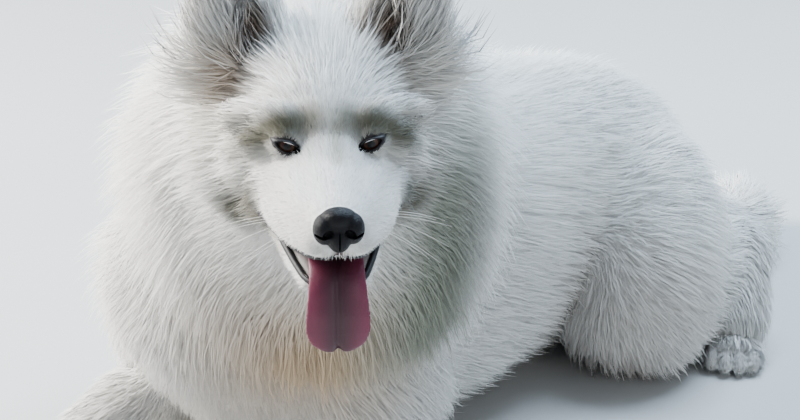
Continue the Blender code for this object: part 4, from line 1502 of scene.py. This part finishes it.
def skinPaint():
    paint = Paint("skinPaint")
    hair = paint.noise(420.0, 3.0)
    # the skin is painted darker than the coat, as painted shade deep among the tufts; the noise also varies
    # it like fine hair
    colour = paint.scaled(coatColour(paint), hair * 0.3 + 0.74)
    for side in (-1, 1):
        for (out, up), radius in skinMarks["eye"]:
            place = slitTurn(side) @ Vector((side * out, skinMarks["eyeForward"], up)) + eyeAt(side)
            colour = paint.mix(paint.near(headTurn @ place, radius, 0.25), colour, (0.018, 0.013, 0.013))
        for place, radius in placed([skinMarks["ear"]], 1, side):
            colour = paint.mix(paint.near(place, radius, 0.4) * 0.95, colour, (0.050, 0.034, 0.027))
    for place, radius in placed(skinMarks["mouth"], 1):
        colour = paint.mix(paint.near(place, radius, 0.3), colour, (0.05, 0.022, 0.022))
    bump = paint.bump(hair, 0.5, 0.001)
    return paint.set(Base_Color=colour, Roughness=0.75, Normal=bump)


def nosePaint():
    paint = Paint("nosePaint")
    cells = paint.node("ShaderNodeTexVoronoi", {"feature": "DISTANCE_TO_EDGE"},
                       {"Vector": paint.place, "Scale": 900.0}, "Distance")
    pebbles = (cells * 3.0).clamped()
    patchy = paint.noise(160.0, 3.0)
    colour = paint.mix(patchy, (0.004, 0.004, 0.005), (0.012, 0.011, 0.012))
    return paint.set(Base_Color=colour, Roughness=0.30 + patchy * 0.20, Specular_IOR_Level=0.14,
                     Normal=paint.bump(pebbles, 0.35, 0.0006))


def tonguePaint():
    paint = Paint("tonguePaint")
    fine = paint.noise(1500.0, 2.0)
    broad = paint.noise(60.0, 3.0)
    rose = paint.mix(broad, (0.13, 0.014, 0.038), (0.18, 0.026, 0.060))
    colour = paint.mix(paint.attribute("edge"), (0.050, 0.011, 0.020), rose)
    bump = paint.bump(fine, 0.4, 0.0005)
    return paint.set(Base_Color=colour, Roughness=0.38 + broad * 0.15, Normal=bump,
                     Subsurface_Weight=0.10, Subsurface_Radius=(0.006, 0.002, 0.002),
                     Specular_IOR_Level=0.3, Coat_Weight=0.12, Coat_Roughness=0.3)


irisRadius = 0.0070
irisStops = [  # from the middle of the pupil to the white
    (0.00, (0.002, 0.002, 0.002)),
    (0.38, (0.002, 0.002, 0.002)),
    (0.46, (0.030, 0.011, 0.006)),
    (0.75, (0.065, 0.026, 0.014)),
    (0.88, (0.012, 0.006, 0.004)),
    (1.00, (0.020, 0.014, 0.012)),
]


def eyePaint(name, front):
    paint = Paint(name)
    reach = paint.distance(front) / irisRadius
    fibres = paint.noise(900.0, 3.0)
    share = reach + (fibres - 0.5) * 0.10
    ramp = paint.node("ShaderNodeValToRGB", {"stops": irisStops}, {"Fac": share})
    return paint.set(Base_Color=ramp, Roughness=0.3, Specular_IOR_Level=0.2,
                     Coat_Weight=0.16, Coat_Roughness=0.05)


def rimPaint():
    paint = Paint("rimPaint")
    patchy = paint.noise(500.0, 3.0)
    colour = paint.mix(patchy, (0.006, 0.005, 0.006), (0.016, 0.013, 0.014))
    return paint.set(Base_Color=colour, Roughness=0.42 + patchy * 0.2, Normal=paint.bump(patchy, 0.3, 0.0004),
                     Specular_IOR_Level=0.3)


def plainPaint(name, first, second, roughness):
    paint = Paint(name)
    patchy = paint.noise(500.0, 3.0)
    return paint.set(Base_Color=paint.mix(patchy, first, second), Roughness=roughness + patchy * 0.15)


def clawPaint():
    paint = Paint("clawPaint")
    streaks = paint.noise(260.0, 3.0, stretch=(1, 1, 0.3))
    colour = paint.mix(streaks, (0.30, 0.22, 0.17), (0.55, 0.46, 0.38))
    return paint.set(Base_Color=colour, Roughness=0.38 + streaks * 0.15)


def floorPaint():
    paint = Paint("floorPaint")
    patchy = paint.noise(3.0, 2.0)
    colour = paint.mix(patchy, (0.52, 0.51, 0.49), (0.56, 0.55, 0.53))
    return paint.set(Base_Color=colour, Roughness=0.8)


studio = {"size": 14, "middle": (0, 0.2, 0), "sky": (0.66, 0.82, 1.0), "strength": 0.42}


def makeStage():
    bpy.ops.mesh.primitive_plane_add(size=studio["size"], location=studio["middle"])
    floor = settle(bpy.context.object, "floor")
    floor.data.materials.append(floorPaint())
    world = bpy.context.scene.world or bpy.data.worlds.new("studio")
    bpy.context.scene.world = world
    world.use_nodes = True
    shade = world.node_tree.nodes["Background"]
    shade.inputs["Color"].default_value = (*studio["sky"], 1)
    shade.inputs["Strength"].default_value = studio["strength"]


lightsAim = (0.15, 0.05, 0.25)
lights = {
    "key": {"at": (-2.4, -1.2, 1.9), "energy": 440, "size": 1.8, "colour": (1.0, 0.985, 0.955)},
    "top": {"at": (0.1, 1.6, 3.0), "energy": 300, "size": 2.2, "colour": (0.60, 0.79, 1.0)},
    "front": {"at": (2.4, -0.8, 0.9), "energy": 13, "size": 1.6, "colour": (0.95, 0.97, 1.0)},
}
camera = {
    "at": (1.405, -1.5105, 1.000),
    "yaw": math.radians(40),
    "down": math.radians(20),
    "lens": 104.985,
    "film": 36,
}


def makeLights():
    for name, light in lights.items():
        bpy.ops.object.light_add(type="AREA", location=light["at"])
        lamp = bpy.context.object
        lamp.name = name
        lamp.data.energy = light["energy"]
        lamp.data.size = light["size"]
        lamp.data.color = light["colour"]
        lamp.rotation_euler = (Vector(lightsAim) - lamp.location).to_track_quat("-Z", "Y").to_euler()


def makeCamera():
    bpy.ops.object.camera_add(location=camera["at"])
    view = bpy.context.object
    view.rotation_euler = (math.pi / 2 - camera["down"], 0, camera["yaw"])
    view.data.lens = camera["lens"]
    view.data.sensor_width = camera["film"]
    bpy.context.scene.camera = view


deselect()
skin = makeSkin()
print("skin done")
growCoat(skin, coatPaint())
print("coat done")
makeNose()
makeTongue()
makeEyes()
rim = rimPaint()
# pale paint for the painted highlight along each upper lid
glint = plainPaint("lidEdgePaint", (0.60, 0.56, 0.56), (0.80, 0.77, 0.76), 0.2)
for side, name in ((-1, "Left"), (1, "Right")):
    makeLid(side, name, rim)
    lidEdge(side, name, glint)
    makeLip(side, "upper", "upperLip" + name, rim)
    makeLip(side, "lower", "lowerLip" + name, rim)
makeWhiskers(plainPaint("whiskerPaint", (0.70, 0.64, 0.55), (0.88, 0.84, 0.78), 0.4))
makeClaws(clawPaint())
print("face and feet done")
makeStage()
makeLights()
makeCamera()
print("studio done")
